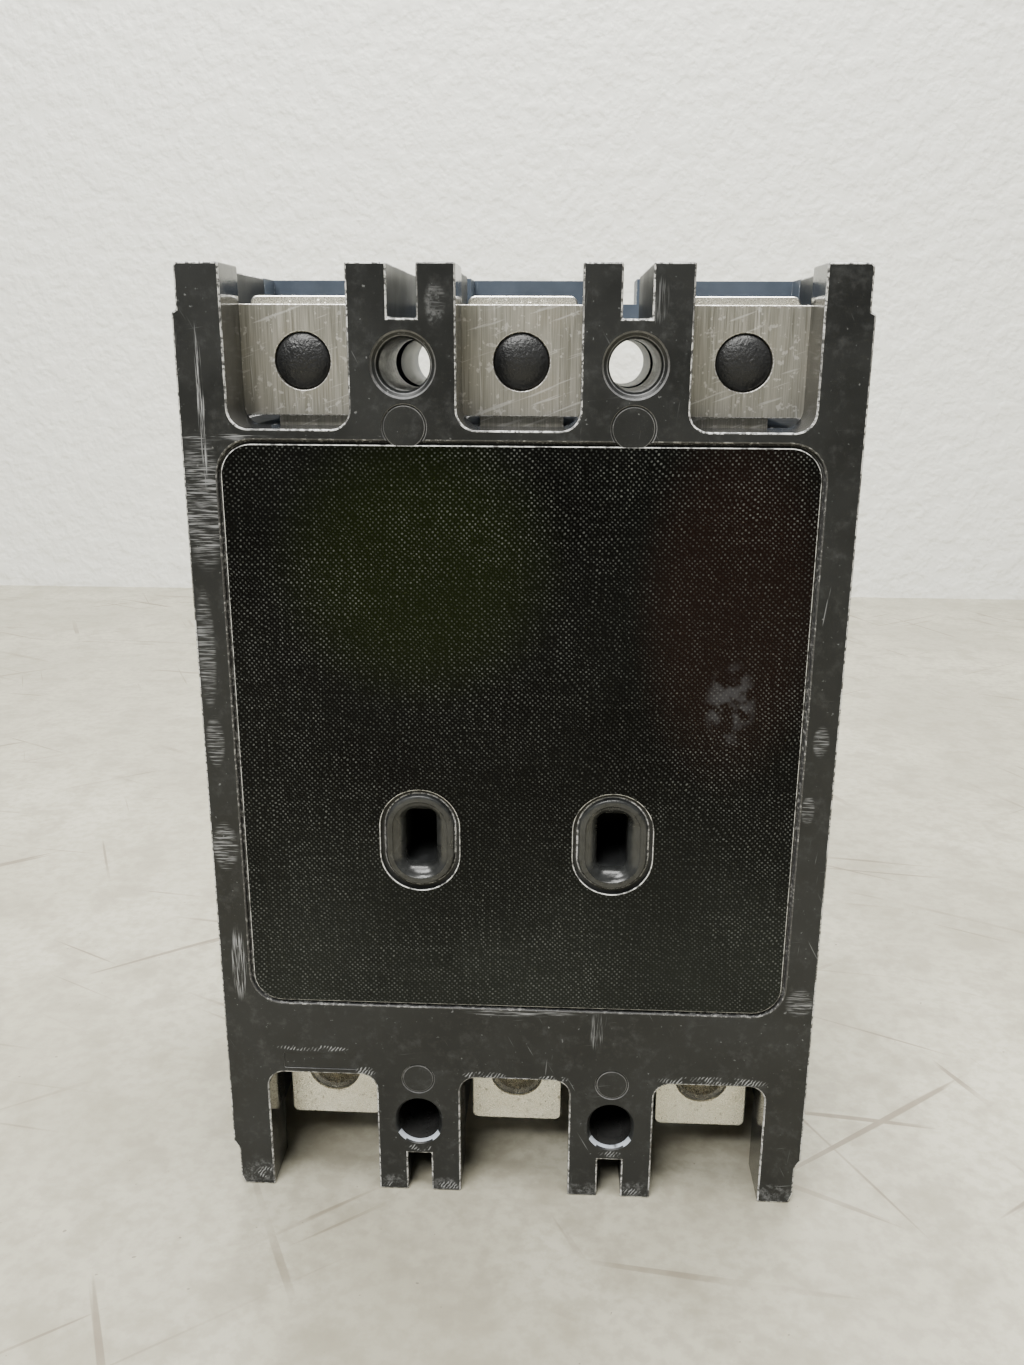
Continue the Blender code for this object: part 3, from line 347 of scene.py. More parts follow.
class Nodes:
    """Short calls for building a node tree; positions are read in millimetres of the frame."""

    def __init__(self, name):
        self.material = bpy.data.materials.new(name)
        self.material.use_nodes = True
        self.tree = self.material.node_tree
        self.shader = self.tree.nodes["Principled BSDF"]
        coordinates = self.tree.nodes.new("ShaderNodeTexCoord")
        scale = self.tree.nodes.new("ShaderNodeVectorMath")
        scale.operation = "SCALE"
        scale.inputs["Scale"].default_value = 1 / MM
        self.tree.links.new(coordinates.outputs["Object"], scale.inputs[0])
        self.mm = scale.outputs[0]

    def link(self, value, socket):
        if hasattr(value, "links"):
            self.tree.links.new(value, socket)
        else:
            socket.default_value = value

    def math(self, operation, a, b=0.0, c=0.0):
        node = self.tree.nodes.new("ShaderNodeMath")
        node.operation = operation
        for value, socket in zip((a, b, c), node.inputs):
            self.link(value, socket)
        return node.outputs[0]

    def times(self, a, b):
        return self.math("MULTIPLY", a, b)

    def plus(self, a, b):
        return self.math("ADD", a, b)

    def minus(self, a, b):
        return self.math("SUBTRACT", a, b)

    def most(self, a, b):
        return self.math("MAXIMUM", a, b)

    def stretched(self, stretch, turn=0.0, flat=False):
        """Coordinates scaled along each axis after a turn in degrees about Y, or Z if flat."""
        node = self.tree.nodes.new("ShaderNodeMapping")
        angle = math.radians(turn)
        node.inputs["Rotation"].default_value = (0.0, 0.0, angle) if flat else (0.0, angle, 0.0)
        self.tree.links.new(self.mm, node.inputs["Vector"])
        scale = self.tree.nodes.new("ShaderNodeVectorMath")
        scale.operation = "MULTIPLY"
        scale.inputs[1].default_value = stretch
        self.tree.links.new(node.outputs[0], scale.inputs[0])
        return scale.outputs[0]

    def noise(self, size, detail=3.0, rough=0.55, stretch=(1.0, 1.0, 1.0), turn=0.0, flat=False):
        """Noise whose features are about size millimetres across."""
        node = self.tree.nodes.new("ShaderNodeTexNoise")
        node.inputs["Scale"].default_value = 1 / size
        node.inputs["Detail"].default_value = detail
        node.inputs["Roughness"].default_value = rough
        self.tree.links.new(self.stretched(stretch, turn, flat), node.inputs["Vector"])
        return node.outputs["Fac"]

    def ramp(self, value, low, high, start=0.0, end=1.0):
        """value from low..high onto start..end, clamped."""
        node = self.tree.nodes.new("ShaderNodeMapRange")
        node.interpolation_type = "SMOOTHSTEP"
        limits = {"From Min": low, "From Max": high, "To Min": start, "To Max": end}
        for socket, number in limits.items():
            node.inputs[socket].default_value = number
        self.link(value, node.inputs["Value"])
        return node.outputs["Result"]

    def mix(self, share, a, b):
        node = self.tree.nodes.new("ShaderNodeMix")
        node.data_type = "RGBA"
        self.link(share, node.inputs["Factor"])
        for value, name in ((a, "A"), (b, "B")):
            socket = next(s for s in node.inputs if s.name == name and s.type == "RGBA")
            self.link((*value, 1.0) if isinstance(value, tuple) else value, socket)
        return next(s for s in node.outputs if s.type == "RGBA")

    def axes(self):
        node = self.tree.nodes.new("ShaderNodeSeparateXYZ")
        self.tree.links.new(self.mm, node.inputs[0])
        return node.outputs

    def patch(self, centre, half, softness=0.5):
        """1 inside an ellipse across the back at (x, z), fading out past its edge."""
        x, _, z = self.axes()
        dx = self.math("DIVIDE", self.minus(x, centre[0]), half[0])
        dz = self.math("DIVIDE", self.minus(z, centre[1]), half[1])
        square = self.plus(self.times(dx, dx), self.times(dz, dz))
        return self.ramp(square, 1.0 - softness, 1.0 + softness, 1.0, 0.0)

    def bump(self, height, distance, strength=1.0, after=None):
        node = self.tree.nodes.new("ShaderNodeBump")
        node.inputs["Strength"].default_value = strength
        node.inputs["Distance"].default_value = distance * MM
        self.link(height, node.inputs["Height"])
        if after is not None:
            self.tree.links.new(after, node.inputs["Normal"])
        return node.outputs[0]

    def set(self, **sockets):
        for name, value in sockets.items():
            socket = self.shader.inputs[name.replace("_", " ")]
            self.link((*value, 1.0) if isinstance(value, tuple) else value, socket)
        return self.material


def largest(nodes, values):
    total = values[0]
    for value in values[1:]:
        total = nodes.most(total, value)
    return total


# Rubbed places on the back rim: (x, z), (half width, half height), strength, streak direction
RUBS = (
    ((-49.4, 127.5), (3.0, 9.5), 0.55, "across"),
    ((-50.6, 104.0), (1.4, 9.0), 0.45, "across"),
    ((-50.2, 88.0), (1.4, 4.0), 0.55, "across"),
    ((-49.8, 69.0), (2.0, 4.0), 0.7, "across"),
    ((-48.9, 46.5), (1.2, 6.5), 0.7, "along"),
    ((-48.7, 142.0), (0.5, 11.5), 0.8, "along"),
    ((-45.0, 137.8), (6.5, 0.5), 0.5, "across"),
    ((-47.5, 131.0), (4.0, 0.5), 0.5, "across"),
    ((49.6, 41.8), (2.2, 2.4), 0.5, "across"),
    ((48.3, 78.0), (1.0, 2.4), 0.5, "across"),
    ((49.5, 90.0), (1.2, 2.4), 0.45, "across"),
    ((1.0, 38.2), (9.0, 0.7), 0.55, "across"),
    ((14.5, 35.0), (1.2, 3.5), 0.4, "along"),
    ((-12.5, 158.0), (1.5, 2.2), 0.2, "across"),
    ((20.5, 158.0), (1.5, 3.0), 0.25, "along"),
)
# Runs of slanting cutter chatter: (x, z), (half width, half height)
CHATTER = (
    ((-36.5, 29.7), (6.0, 0.6)),
    ((-27.0, 25.2), (1.7, 0.9)),
    ((-5.5, 25.1), (3.6, 0.8)),
    ((7.0, 24.9), (2.6, 0.6)),
    ((35.5, 25.3), (9.0, 1.0)),
    ((-17.3, 9.3), (2.0, 0.7)),
    ((17.6, 9.3), (2.0, 0.6)),
    ((-12.0, 1.2), (1.9, 0.8)),
    ((-22.2, 1.0), (1.9, 0.6)),
    ((22.0, 1.2), (1.8, 0.7)),
    ((-46.0, 2.6), (3.0, 1.2)),
)
# The ends of the legs, greyed by standing on them: (x, z), (half width, half height)
SCUFFED_FEET = (
    ((-46.0, 2.0), (5.0, 3.2)),
    ((-22.2, 1.2), (3.0, 1.9)),
    ((-12.2, 1.2), (3.0, 1.6)),
    ((12.6, 1.2), (3.0, 1.7)),
    ((22.2, 1.4), (3.0, 1.9)),
    ((46.5, 1.6), (5.0, 2.4)),
    ((-12.5, 157.5), (1.4, 3.0)),
)


def case_plastic(name, colour, pale, roughness, worn):
    """Moulded thermoset: fine grain, cloudy gloss, hairline scratches and, on the back, rubs."""
    n = Nodes(name)
    cloud = n.noise(14.0, 4.0)
    grain = n.noise(0.35, 2.0)
    speck = n.ramp(n.noise(0.9, 2.0), 0.68, 0.76)
    hair = [
        n.ramp(n.noise(1.1, 2.0, 0.5, (0.1, 1.0, 2.6), turn), 0.7, 0.76)
        for turn in (8.0, -62.0, 84.0)
    ]
    scratches = n.times(largest(n, hair), n.ramp(n.noise(22.0, 2.0), 0.5, 0.64))
    haze = n.times(n.ramp(n.noise(2.2, 5.0, 0.7), 0.48, 0.8), 0.05)
    wear = n.most(haze, n.times(scratches, 0.3))
    if worn:
        _, y, _ = n.axes()
        near_back = n.ramp(y, BACK / MM + 0.4, BACK / MM + 1.4, 1.0, 0.0)
        across = n.ramp(n.noise(0.5, 3.0, 0.6, (0.12, 1.0, 2.2)), 0.46, 0.68)
        along = n.ramp(n.noise(0.5, 3.0, 0.6, (2.4, 1.0, 0.09)), 0.46, 0.66)
        for centre, half, strength, direction in RUBS:
            streaks = across if direction == "across" else along
            spot = n.times(n.patch(centre, half), streaks)
            wear = n.most(wear, n.times(spot, strength))
        slant = n.stretched((1.0, 1.0, 1.0), -34.0)
        lines = n.tree.nodes.new("ShaderNodeTexWave")
        lines.bands_direction = "X"
        lines.inputs["Scale"].default_value = 0.6
        lines.inputs["Distortion"].default_value = 3.5
        lines.inputs["Detail Scale"].default_value = 2.0
        n.tree.links.new(slant, lines.inputs["Vector"])
        cuts = n.ramp(lines.outputs["Fac"], 0.62, 0.8)
        broken = n.ramp(n.noise(2.4, 2.0), 0.4, 0.56)
        for centre, half in CHATTER:
            spot = n.times(n.patch(centre, half, 0.35), n.times(cuts, broken))
            wear = n.most(wear, n.times(spot, 0.62))
        for centre, half in SCUFFED_FEET:
            spot = n.times(n.patch(centre, half, 0.6), n.ramp(n.noise(1.3, 5.0, 0.7), 0.44, 0.74))
            wear = n.most(wear, n.times(spot, 0.3))
        dust = n.times(speck, 0.25)
        wear = n.times(n.most(wear, dust), near_back)
        wear = n.most(wear, n.times(haze, 0.8))
        wear = n.most(wear, n.times(scratches, 0.25))
    dark, light = (tuple(c * share for c in colour) for share in (0.8, 1.25))
    base = n.mix(n.ramp(cloud, 0.3, 0.7), dark, light)
    tint = n.mix(wear, base, pale)
    rough = n.plus(n.ramp(cloud, 0.3, 0.7, roughness - 0.07, roughness + 0.07), n.times(wear, 0.25))
    height = n.plus(n.times(grain, 0.5), n.times(wear, -0.6))
    n.set(Base_Color=tint, Roughness=rough, Normal=n.bump(height, 0.05, 0.6))
    return n.set(Specular_IOR_Level=0.3)


def worn_edge(name, colour, pale, threshold):
    """The rounded edges, where handling has chipped and paled the plastic."""
    n = Nodes(name)
    chips = n.ramp(n.noise(0.7, 4.0, 0.65), threshold, threshold + 0.12)
    long_run = n.ramp(n.noise(9.0, 2.0), 0.36, 0.56, 0.2, 1.0)
    share = n.times(chips, long_run)
    tint = n.mix(share, colour, pale)
    rough = n.ramp(share, 0.0, 1.0, 0.36, 0.7)
    return n.set(Base_Color=tint, Roughness=rough, Normal=n.bump(chips, 0.08, 0.7))


def laminate_finish():
    """Black glass laminate: a plain weave under thin resin, with pale flecks at its crossings, and a
    painted reflection that lightens it towards the bottom.
    """
    n = Nodes("laminate_weave")
    pitch = 0.9
    x, _, z = n.axes()
    wobble = n.times(n.minus(n.noise(6.0, 2.0), 0.5), 1.6)
    warp = n.math("SINE", n.times(n.plus(x, wobble), 2 * math.pi / pitch))
    weft = n.math("SINE", n.times(n.plus(z, wobble), 2 * math.pi / pitch))
    crossing = n.times(warp, weft)
    weave = n.ramp(crossing, -0.9, 0.9)
    dots = n.ramp(crossing, 0.25, 0.8)
    row_noise = n.noise(1.0, 2.0, 0.5, (0.1, 1.0, 1.2))
    column_noise = n.noise(1.0, 2.0, 0.5, (1.2, 1.0, 0.1))
    rows = n.ramp(n.most(row_noise, column_noise), 0.42, 0.66, 0.25, 1.0)
    flecks = n.times(dots, n.times(rows, n.ramp(n.noise(0.9, 1.0), 0.34, 0.6, 0.2, 1.0)))
    flecks = n.times(flecks, n.ramp(n.noise(30.0, 2.0), 0.35, 0.6, 0.5, 1.0))
    cloud = n.noise(26.0, 3.0)
    smudge = n.times(n.patch((34.5, 96.0), (3.4, 6.0), 0.8), n.ramp(n.noise(2.5, 3.0), 0.42, 0.62))
    scratches = n.ramp(n.noise(2.2, 2.0, 0.5, (1.0, 1.0, 0.05), 32.0), 0.74, 0.78)
    deep = n.mix(n.ramp(cloud, 0.3, 0.7), (0.0012, 0.0013, 0.0012), (0.003, 0.0032, 0.0028))
    # Painted reflection: the sheet is lighter towards the bottom, below about z 85 mm, where its gloss
    # would mirror the bright floor.
    low = n.times(n.ramp(z, 85.0, 40.0), n.ramp(cloud, 0.3, 0.7, 0.6, 1.0))
    deep = n.mix(low, deep, (0.0155, 0.0175, 0.0152))
    left = n.times(n.patch((-16.0, 118.0), (19.0, 19.0), 0.8), 0.9)
    green = n.mix(left, deep, (0.0055, 0.0085, 0.0012))
    right = n.times(n.patch((34.0, 112.0), (13.0, 26.0), 0.7), 0.8)
    brown = n.mix(right, green, (0.0095, 0.0045, 0.0035))
    pale = n.mix(n.times(flecks, 0.5), brown, (0.2, 0.21, 0.2))
    pale = n.mix(n.times(n.most(smudge, n.times(scratches, 0.35)), 0.16), pale, (0.22, 0.23, 0.25))
    rough = n.plus(n.ramp(cloud, 0.35, 0.65, 0.26, 0.34), n.times(smudge, 0.25))
    height = n.plus(n.times(weave, 0.35), flecks)
    n.set(Base_Color=pale, Roughness=rough, Normal=n.bump(height, 0.03, 0.45))
    return n.set(Specular_IOR_Level=0.08)


def painted_lit_bore_finish():
    """A bore's lit lower wall: grey, with a broken pale painted highlight near the mouth that fades
    out deeper in, as painted shade.
    """
    n = Nodes("bore_painted_highlight")
    _, y, _ = n.axes()
    # Painted shade: the pale painted highlight fades out deeper in the bore.
    near = n.ramp(y, BACK / MM + 5.0, BACK / MM + 16.0, 1.0, 0.0)
    painted_light = n.times(near, n.ramp(n.noise(2.6, 4.0), 0.34, 0.5))
    tint = n.mix(painted_light, (0.12, 0.125, 0.13), (0.45, 0.49, 0.55))
    rough = n.ramp(painted_light, 0.0, 1.0, 0.3, 0.8)
    return n.set(Base_Color=tint, Roughness=rough, Normal=n.bump(painted_light, 0.05, 0.5))


def cut_edge_finish():
    """The sheet's sheared edge, where pale glass fibres show in short runs."""
    n = Nodes("laminate_edge")
    runs = n.ramp(n.noise(0.8, 3.0), 0.34, 0.56)
    return n.set(Base_Color=n.mix(runs, (0.12, 0.12, 0.12), (0.75, 0.75, 0.72)), Roughness=0.7)


def plate_finish():
    """Tin-plated copper, brushed along Z, with cross scuffs and darker blotches."""
    n = Nodes("brushed_tin")
    fine = n.noise(0.2, 3.0, 0.6, (1.0, 1.0, 0.02))
    wide = n.noise(1.6, 2.0, 0.5, (1.0, 1.0, 0.05))
    blotch = n.noise(7.0, 4.0)
    scuff = n.ramp(n.noise(1.2, 2.0, 0.5, (0.12, 1.0, 2.0), 20.0), 0.62, 0.68)
    share = n.plus(n.times(fine, 0.75), n.times(wide, 0.25))
    nicks = n.ramp(n.noise(0.9, 3.0), 0.6, 0.66)
    long_lines = n.ramp(n.noise(0.8, 2.0, 0.5, (1.6, 1.0, 0.06), 3.0), 0.68, 0.73)
    tint = n.mix(n.ramp(share, 0.3, 0.7), (0.33, 0.32, 0.27), (0.56, 0.54, 0.48))
    tint = n.mix(n.times(nicks, 0.6), tint, (0.85, 0.83, 0.78))
    tint = n.mix(n.ramp(blotch, 0.5, 0.75, 0.0, 0.4), tint, (0.42, 0.38, 0.30))
    tint = n.mix(n.times(n.most(scuff, long_lines), 0.55), tint, (0.82, 0.81, 0.77))
    rough = n.ramp(n.plus(fine, n.times(blotch, 0.5)), 0.5, 1.0, 0.3, 0.5)
    height = n.plus(fine, n.times(scuff, 0.5))
    return n.set(Base_Color=tint, Metallic=0.7, Roughness=rough, Normal=n.bump(height, 0.02, 0.5))


def burr_finish():
    n = Nodes("plate_burr")
    dots = n.ramp(n.noise(0.5, 2.0), 0.45, 0.6)
    tint = n.mix(dots, (0.45, 0.43, 0.38), (0.92, 0.91, 0.87))
    return n.set(Base_Color=tint, Metallic=0.6, Roughness=0.4)


def lug_finish(name, low, high):
    """Cast, plated lug: a satin skin with small pits, dents and bright rubs."""
    n = Nodes(name)
    fine = n.noise(0.22, 3.0, 0.6)
    cloud = n.noise(3.0, 3.0)
    pits = n.ramp(n.noise(0.8, 2.0), 0.62, 0.74)
    rub = n.ramp(n.noise(0.9, 2.0, 0.5, (0.2, 1.0, 1.6), 25.0), 0.62, 0.72)
    tint = n.mix(n.ramp(n.plus(n.times(fine, 0.6), n.times(cloud, 0.4)), 0.35, 0.65), low, high)
    tint = n.mix(n.times(pits, 0.5), tint, tuple(c * 0.55 for c in low))
    tint = n.mix(n.times(rub, 0.35), tint, (0.9, 0.88, 0.8))
    rough = n.ramp(fine, 0.35, 0.65, 0.22, 0.38)
    height = n.minus(fine, n.times(pits, 1.6))
    return n.set(Base_Color=tint, Metallic=0.8, Roughness=rough, Normal=n.bump(height, 0.05, 0.6))


def metal_finish(name, low, high, roughness, stretch=(1.0, 1.0, 1.0)):
    n = Nodes(name)
    fine = n.noise(0.3, 3.0, 0.6, stretch)
    cloud = n.noise(4.0, 3.0)
    tint = n.mix(n.ramp(n.plus(n.times(fine, 0.5), n.times(cloud, 0.5)), 0.35, 0.65), low, high)
    rough = n.ramp(cloud, 0.35, 0.65, roughness - 0.07, roughness + 0.07)
    return n.set(Base_Color=tint, Metallic=0.95, Roughness=rough, Normal=n.bump(fine, 0.02, 0.5))


def plain_finish(name, low, high, roughness, size=0.6, depth=0.05, stretch=(1.0, 1.0, 1.0)):
    n = Nodes(name)
    fine = n.noise(size, 3.0, 0.6, stretch)
    cloud = n.noise(9.0, 3.0)
    tint = n.mix(n.ramp(n.plus(n.times(fine, 0.4), n.times(cloud, 0.6)), 0.35, 0.65), low, high)
    rough = n.ramp(cloud, 0.35, 0.65, roughness - 0.06, roughness + 0.06)
    return n.set(Base_Color=tint, Roughness=rough, Normal=n.bump(fine, depth, 0.6))


def braid_finish():
    n = Nodes("copper_braid")
    x, y, z = n.axes()
    along = n.plus(y, z)
    first = n.math("SINE", n.times(n.plus(along, x), 7.0))
    second = n.math("SINE", n.times(n.minus(along, x), 7.0))
    weave = n.ramp(n.most(first, second), 0.0, 1.0)
    tint = n.mix(weave, (0.22, 0.1, 0.06), (0.75, 0.42, 0.27))
    return n.set(Base_Color=tint, Metallic=0.9, Roughness=0.45, Normal=n.bump(weave, 0.15, 0.8))


def make_finishes():
    black = (0.0174, 0.0184, 0.0186)
    pale = (0.5, 0.51, 0.53)
    return {
        "case": case_plastic("case_thermoset", black, pale, 0.4, True),
        "case_edge": worn_edge("case_worn_edge", (0.075, 0.075, 0.075), (0.7, 0.7, 0.69), 0.42),
        "face": case_plastic("face_thermoset", black, pale, 0.42, False),
        "gloss": plain_finish(
            "window_wall", (0.02, 0.02, 0.02), (0.034, 0.034, 0.033), 0.14, 1.2, 0.03
        ),
        "collar": plain_finish(
            "collar_moulding", (0.016, 0.0168, 0.0166), (0.04, 0.042, 0.042), 0.3, 1.1, 0.05
        ),
        "recess_edge": worn_edge("case_recess_edge", (0.05, 0.05, 0.05), (0.32, 0.32, 0.31), 0.5),
        # Line-end bore walls: streaks along the bore, pale grey partly from scuffs and partly as a
        # painted reflection.
        "bore": plain_finish(
            "bore_scuffs_painted_reflection", (0.014, 0.014, 0.014), (0.42, 0.42, 0.41), 0.4, 0.9, 0.08, (1.0, 0.35, 1.0)
        ),
        # Pale rubbed wear on the ejector rings and pad walls; on the screw mouths' lips the same pale
        # grey is a painted highlight.
        "rubbed_and_highlit": plain_finish(
            "pale_rub_and_painted_highlight", (0.07, 0.071, 0.073), (0.2, 0.2, 0.203), 0.5, 0.8, 0.04
        ),
        "cover": case_plastic(
            "cover_thermoset", (0.08, 0.1, 0.132), (0.38, 0.42, 0.47), 0.45, False
        ),
        "cover_edge": worn_edge("cover_worn_edge", (0.2, 0.23, 0.27), (0.6, 0.62, 0.66), 0.5),
        "laminate": laminate_finish(),
        "cut_edge": cut_edge_finish(),
        "lit_bore_paint": painted_lit_bore_finish(),
        "plate": plate_finish(),
        "burr": burr_finish(),
        "lug": lug_finish("lug_skin", (0.84, 0.8, 0.68), (0.99, 0.97, 0.87)),
        "lug_edge": metal_finish("lug_edge", (0.8, 0.79, 0.74), (0.95, 0.94, 0.9), 0.3),
        "thread": lug_finish("lug_thread", (0.8, 0.74, 0.6), (1.0, 0.97, 0.88)),
        "plug": plain_finish(
            "plug_pebble", (0.011, 0.0115, 0.0125), (0.02, 0.0205, 0.0215), 0.36, 0.5, 0.26
        ),
        "steel": metal_finish("zinc_steel", (0.4, 0.4, 0.41), (0.66, 0.66, 0.66), 0.34),
        "copper": metal_finish("bare_copper", (0.5, 0.22, 0.13), (0.8, 0.42, 0.28), 0.36),
        "fibre": plain_finish(
            "red_fibre", (0.2, 0.05, 0.03), (0.34, 0.1, 0.06), 0.75, 0.5, 0.08, (1.0, 1.0, 0.2)
        ),
        "inner": plain_finish("inner_moulding", (0.03, 0.03, 0.031), (0.06, 0.06, 0.062), 0.6),
        "handle": plain_finish(
            "handle_moulding", (0.016, 0.016, 0.017), (0.028, 0.028, 0.03), 0.4, 0.4, 0.03
        ),
        "red": plain_finish(
            "button_moulding", (0.4, 0.016, 0.012), (0.56, 0.03, 0.02), 0.38, 0.4, 0.03
        ),
        "cream": plain_finish(
            "dial_moulding", (0.5, 0.46, 0.36), (0.64, 0.6, 0.5), 0.42, 0.4, 0.03
        ),
        "braid": braid_finish(),
        "mark": plain_finish("white_print", (0.6, 0.6, 0.58), (0.78, 0.78, 0.76), 0.6),
    }


# ------------------------------------------------------------------ the pieces


def case_outline():
    half = HALF_WIDTH
    right = [
        (half - STEP_BOTTOM - 0.7, 0.0),
        (half - STEP_BOTTOM, 1.8),
        (half - STEP_BOTTOM, 7.7),
        (half, 9.3),
        (half, 156.1),
        (half - STEP_TOP, 156.5),
        (half - STEP_TOP, HEIGHT - 0.5),
        (half - STEP_TOP - 0.5, HEIGHT),
    ]
    return right + [(-x, z) for x, z in reversed(right)]


def window_outline(centre, half, edge, beyond):
    """A window with two rounded corners at its edge, running out beyond the case's end."""
    radius = WINDOW_RADIUS
    side, turn = (-1, 180) if beyond > edge else (1, 0)
    reach, z = side * (half - radius), edge - side * radius
    corners = arc((centre + reach, z), radius, turn, turn + 90)
    corners += arc((centre - reach, z), radius, turn + 90, turn + 180)
    return corners + [(centre - side * half, beyond), (centre + side * half, beyond)]


def compartment_spans(half):
    return (
        (-SIDE_WALL_X, -POLE_PITCH + half),
        (-half, half),
        (POLE_PITCH - half, SIDE_WALL_X),
    )


def compartments(front):
    spans = compartment_spans(COMPARTMENT_HALF)
    line = [block(span, (LEG_DEPTH, front), (LINE_FLOOR, HEIGHT + 7)) for span in spans]
    load = [block(span, (LEG_DEPTH, front), (-5.0, LOAD_ROOF)) for span in spans]
    return prisms(*line, *load)


def windows():
    through = "y", -1.0, LEG_DEPTH + 1
    line = [
        (window_outline(x * LINE_SPREAD, LINE_WINDOW_HALF, LINE_FLOOR, HEIGHT + 7), *through)
        for x in POLES.values()
    ]
    load = [
        (window_outline(x, LOAD_WINDOW_HALF, LOAD_WINDOW_TOP, -5.0), *through)
        for x in POLES.values()
    ]
    return prisms(*line, *load)


def barrier_slots(start, end, line_floor):
    shapes = []
    for x in BARRIERS:
        span = (x - SLOT_HALF, x + SLOT_HALF)
        shapes.append(block(span, (start, end), (line_floor, HEIGHT + 7)))
        shapes.append(block(span, (start, end), (-5.0, BOTTOM_SLOT_ROOF)))
    return prisms(*shapes)


def mounting_points():
    return [(x, z) for x in BARRIERS for z in (MOUNT_TOP_Z, MOUNT_BOTTOM_Z)]


def cover_screw_points():
    return [(x, z) for x in BARRIERS for z in COVER_SCREW_Z]


def tongue_centre(x):
    return x - math.copysign(TONGUE_SHIFT, x) if x else 0.0


def mounting_mouths():
    """The round-lipped mouths: a shallow counterbore, a rounded step, then the bore."""
    profile = [(-0.5, 5.1), (0.25, 5.05), (0.55, 4.8), (0.75, 4.35), (0.85, 4.2), (1.5, 4.05)]
    profile.append((2.2, BORE_RADIUS))
    return turned(*[(profile, "y", (x, MOUNT_TOP_Z)) for x in BARRIERS])


def bottom_mouths():
    bm = bmesh.new()
    for x in BARRIERS:
        stages = [(-0.3, (4.5, 5.1)), (0.3, (4.1, 4.7)), (0.8, BOTTOM_BORE_HALF)]
        loft(bm, "y", [(along, obround((x, MOUNT_BOTTOM_Z), half)) for along, half in stages])
    return bm


def collar_funnels():
    """Each collar's dished mouth, running into a slot with small corners."""
    stages = (
        (-0.3, 4.75, 7.15, 4.7),
        (0.25, 4.6, 7.0, 4.5),
        (0.5, 4.1, 6.5, 4.0),
        (0.75, 3.6, 6.0, 3.0),
        (1.3, 3.05, 5.45, 2.0),
        (1.9, 2.7, 5.1, 1.5),
        (2.6, *COLLAR_SLOT_HALF, 1.3),
        (COLLAR_SLOT_DEPTH, *COLLAR_SLOT_HALF, 1.3),
    )
    bm = bmesh.new()
    for x in COLLARS:
        sections = [
            (along, rounded(x - half_x, x + half_x, COLLAR_Z - half_z, COLLAR_Z + half_z, radius))
            for along, half_x, half_z, radius in stages
        ]
        loft(bm, "y", sections)
    return bm


def at_ejector_marks(steps):
    """One turned shape at each ejector-pin mark, from (distance along Y, inset from its rim)."""
    return turned(*[
        ([(along, radius - inset) for along, inset in steps], "y", (x, z))
        for radius, z in EJECTOR_MARKS
        for x in BARRIERS
    ])


def pad_cuts():
    """Blank sunk panels where a maker would put a mould number."""
    return prisms(*[
        (rounded(x - half_x, x + half_x, z - half_z, z + half_z, 0.3, 2), "y", -0.5, 0.12)
        for x, z, half_x, half_z in PADS
    ])


def base_cutters():
    chambers = [block(span, (BACK_WALL, 50.0), CHAMBER) for span in compartment_spans(CHAMBER_HALF)]
    crossbar_notches = [block((x - 4, x + 4), (20.0, 50.0), (80.5, 95.5)) for x in BARRIERS]
    shelves = [
        block((x - 6.9, x + 6.9), (SLOT_BARRIER_DEPTH, 50.0), (TOP_SLOT_FLOOR, HEIGHT + 7))
        for x in BARRIERS
    ]
    strap_ways = [block((x - 6.4, x + 6.4), (30.2, 33.4), (35.0, 42.0)) for x in POLES.values()]
    half = TONGUE_HALF + 0.4
    tongue_ways = [
        block((x - half, x + half), (PLATE_BACK - 0.3, 13.7), (134.0, 141.0))
        for x in (tongue_centre(x) for x in POLES.values())
    ]
    return prisms(*chambers), prisms(*crossbar_notches, *shelves), prisms(*strap_ways, *tongue_ways)


def collars():
    bosses = [
        (rounded(x - 6.0, x + 6.0, COLLAR_Z - 9.5, COLLAR_Z + 9.5, 2.0), "y", BACK_WALL - 1, 21.0)
        for x in COLLARS
    ]
    rims = bmesh.new()
    for x in COLLARS:
        stages = [(0.0, (5.5, 7.9)), (0.3, (5.8, 8.2)), (2.0, (5.9, 8.3))]
        loft(rims, "y", [(along, obround((x, COLLAR_Z), half)) for along, half in stages])
    return prisms(*bosses), rims


def from_barrier_hole(centre, z):
    """Distance across the back to the nearer barrier's hole at a height."""
    return math.hypot(centre.x - math.copysign(BARRIER_X, centre.x), centre.z - z)


def from_collar_middle(centre):
    """Distance across the back to the middle line of the nearer collar."""
    reach = max(abs(centre.z - COLLAR_Z) - COLLAR_HALF[1] + COLLAR_HALF[0], 0.0)
    return math.hypot(centre.x - math.copysign(COLLAR_X, centre.x), reach)


def in_window(centre, normal):
    """The smooth side walls of the terminal windows."""
    at_end = centre.z > LINE_FLOOR - 0.2 or centre.z < LOAD_WINDOW_TOP + 0.2
    return at_end and centre.y < LEG_DEPTH + 0.3 and centre.y > 0.4 and abs(normal.y) < 0.2


def in_a_bottom_bore(centre, normal):
    """The lower half of the two load-end bores, which faces up to the light and takes a painted
    highlight.
    """
    inside = from_barrier_hole(centre, MOUNT_BOTTOM_Z) < 4.7
    return inside and normal.z > 0.35 and centre.y < BORE_DEPTH


def in_a_pad(centre, normal):
    """The low walls round the blank number pads."""
    return centre.y < 0.115 and abs(normal.y) < 0.5 and any(
        abs(centre.x - x) < half_x + 0.1 and abs(centre.z - z) < half_z + 0.1
        for x, z, half_x, half_z in PADS
    )


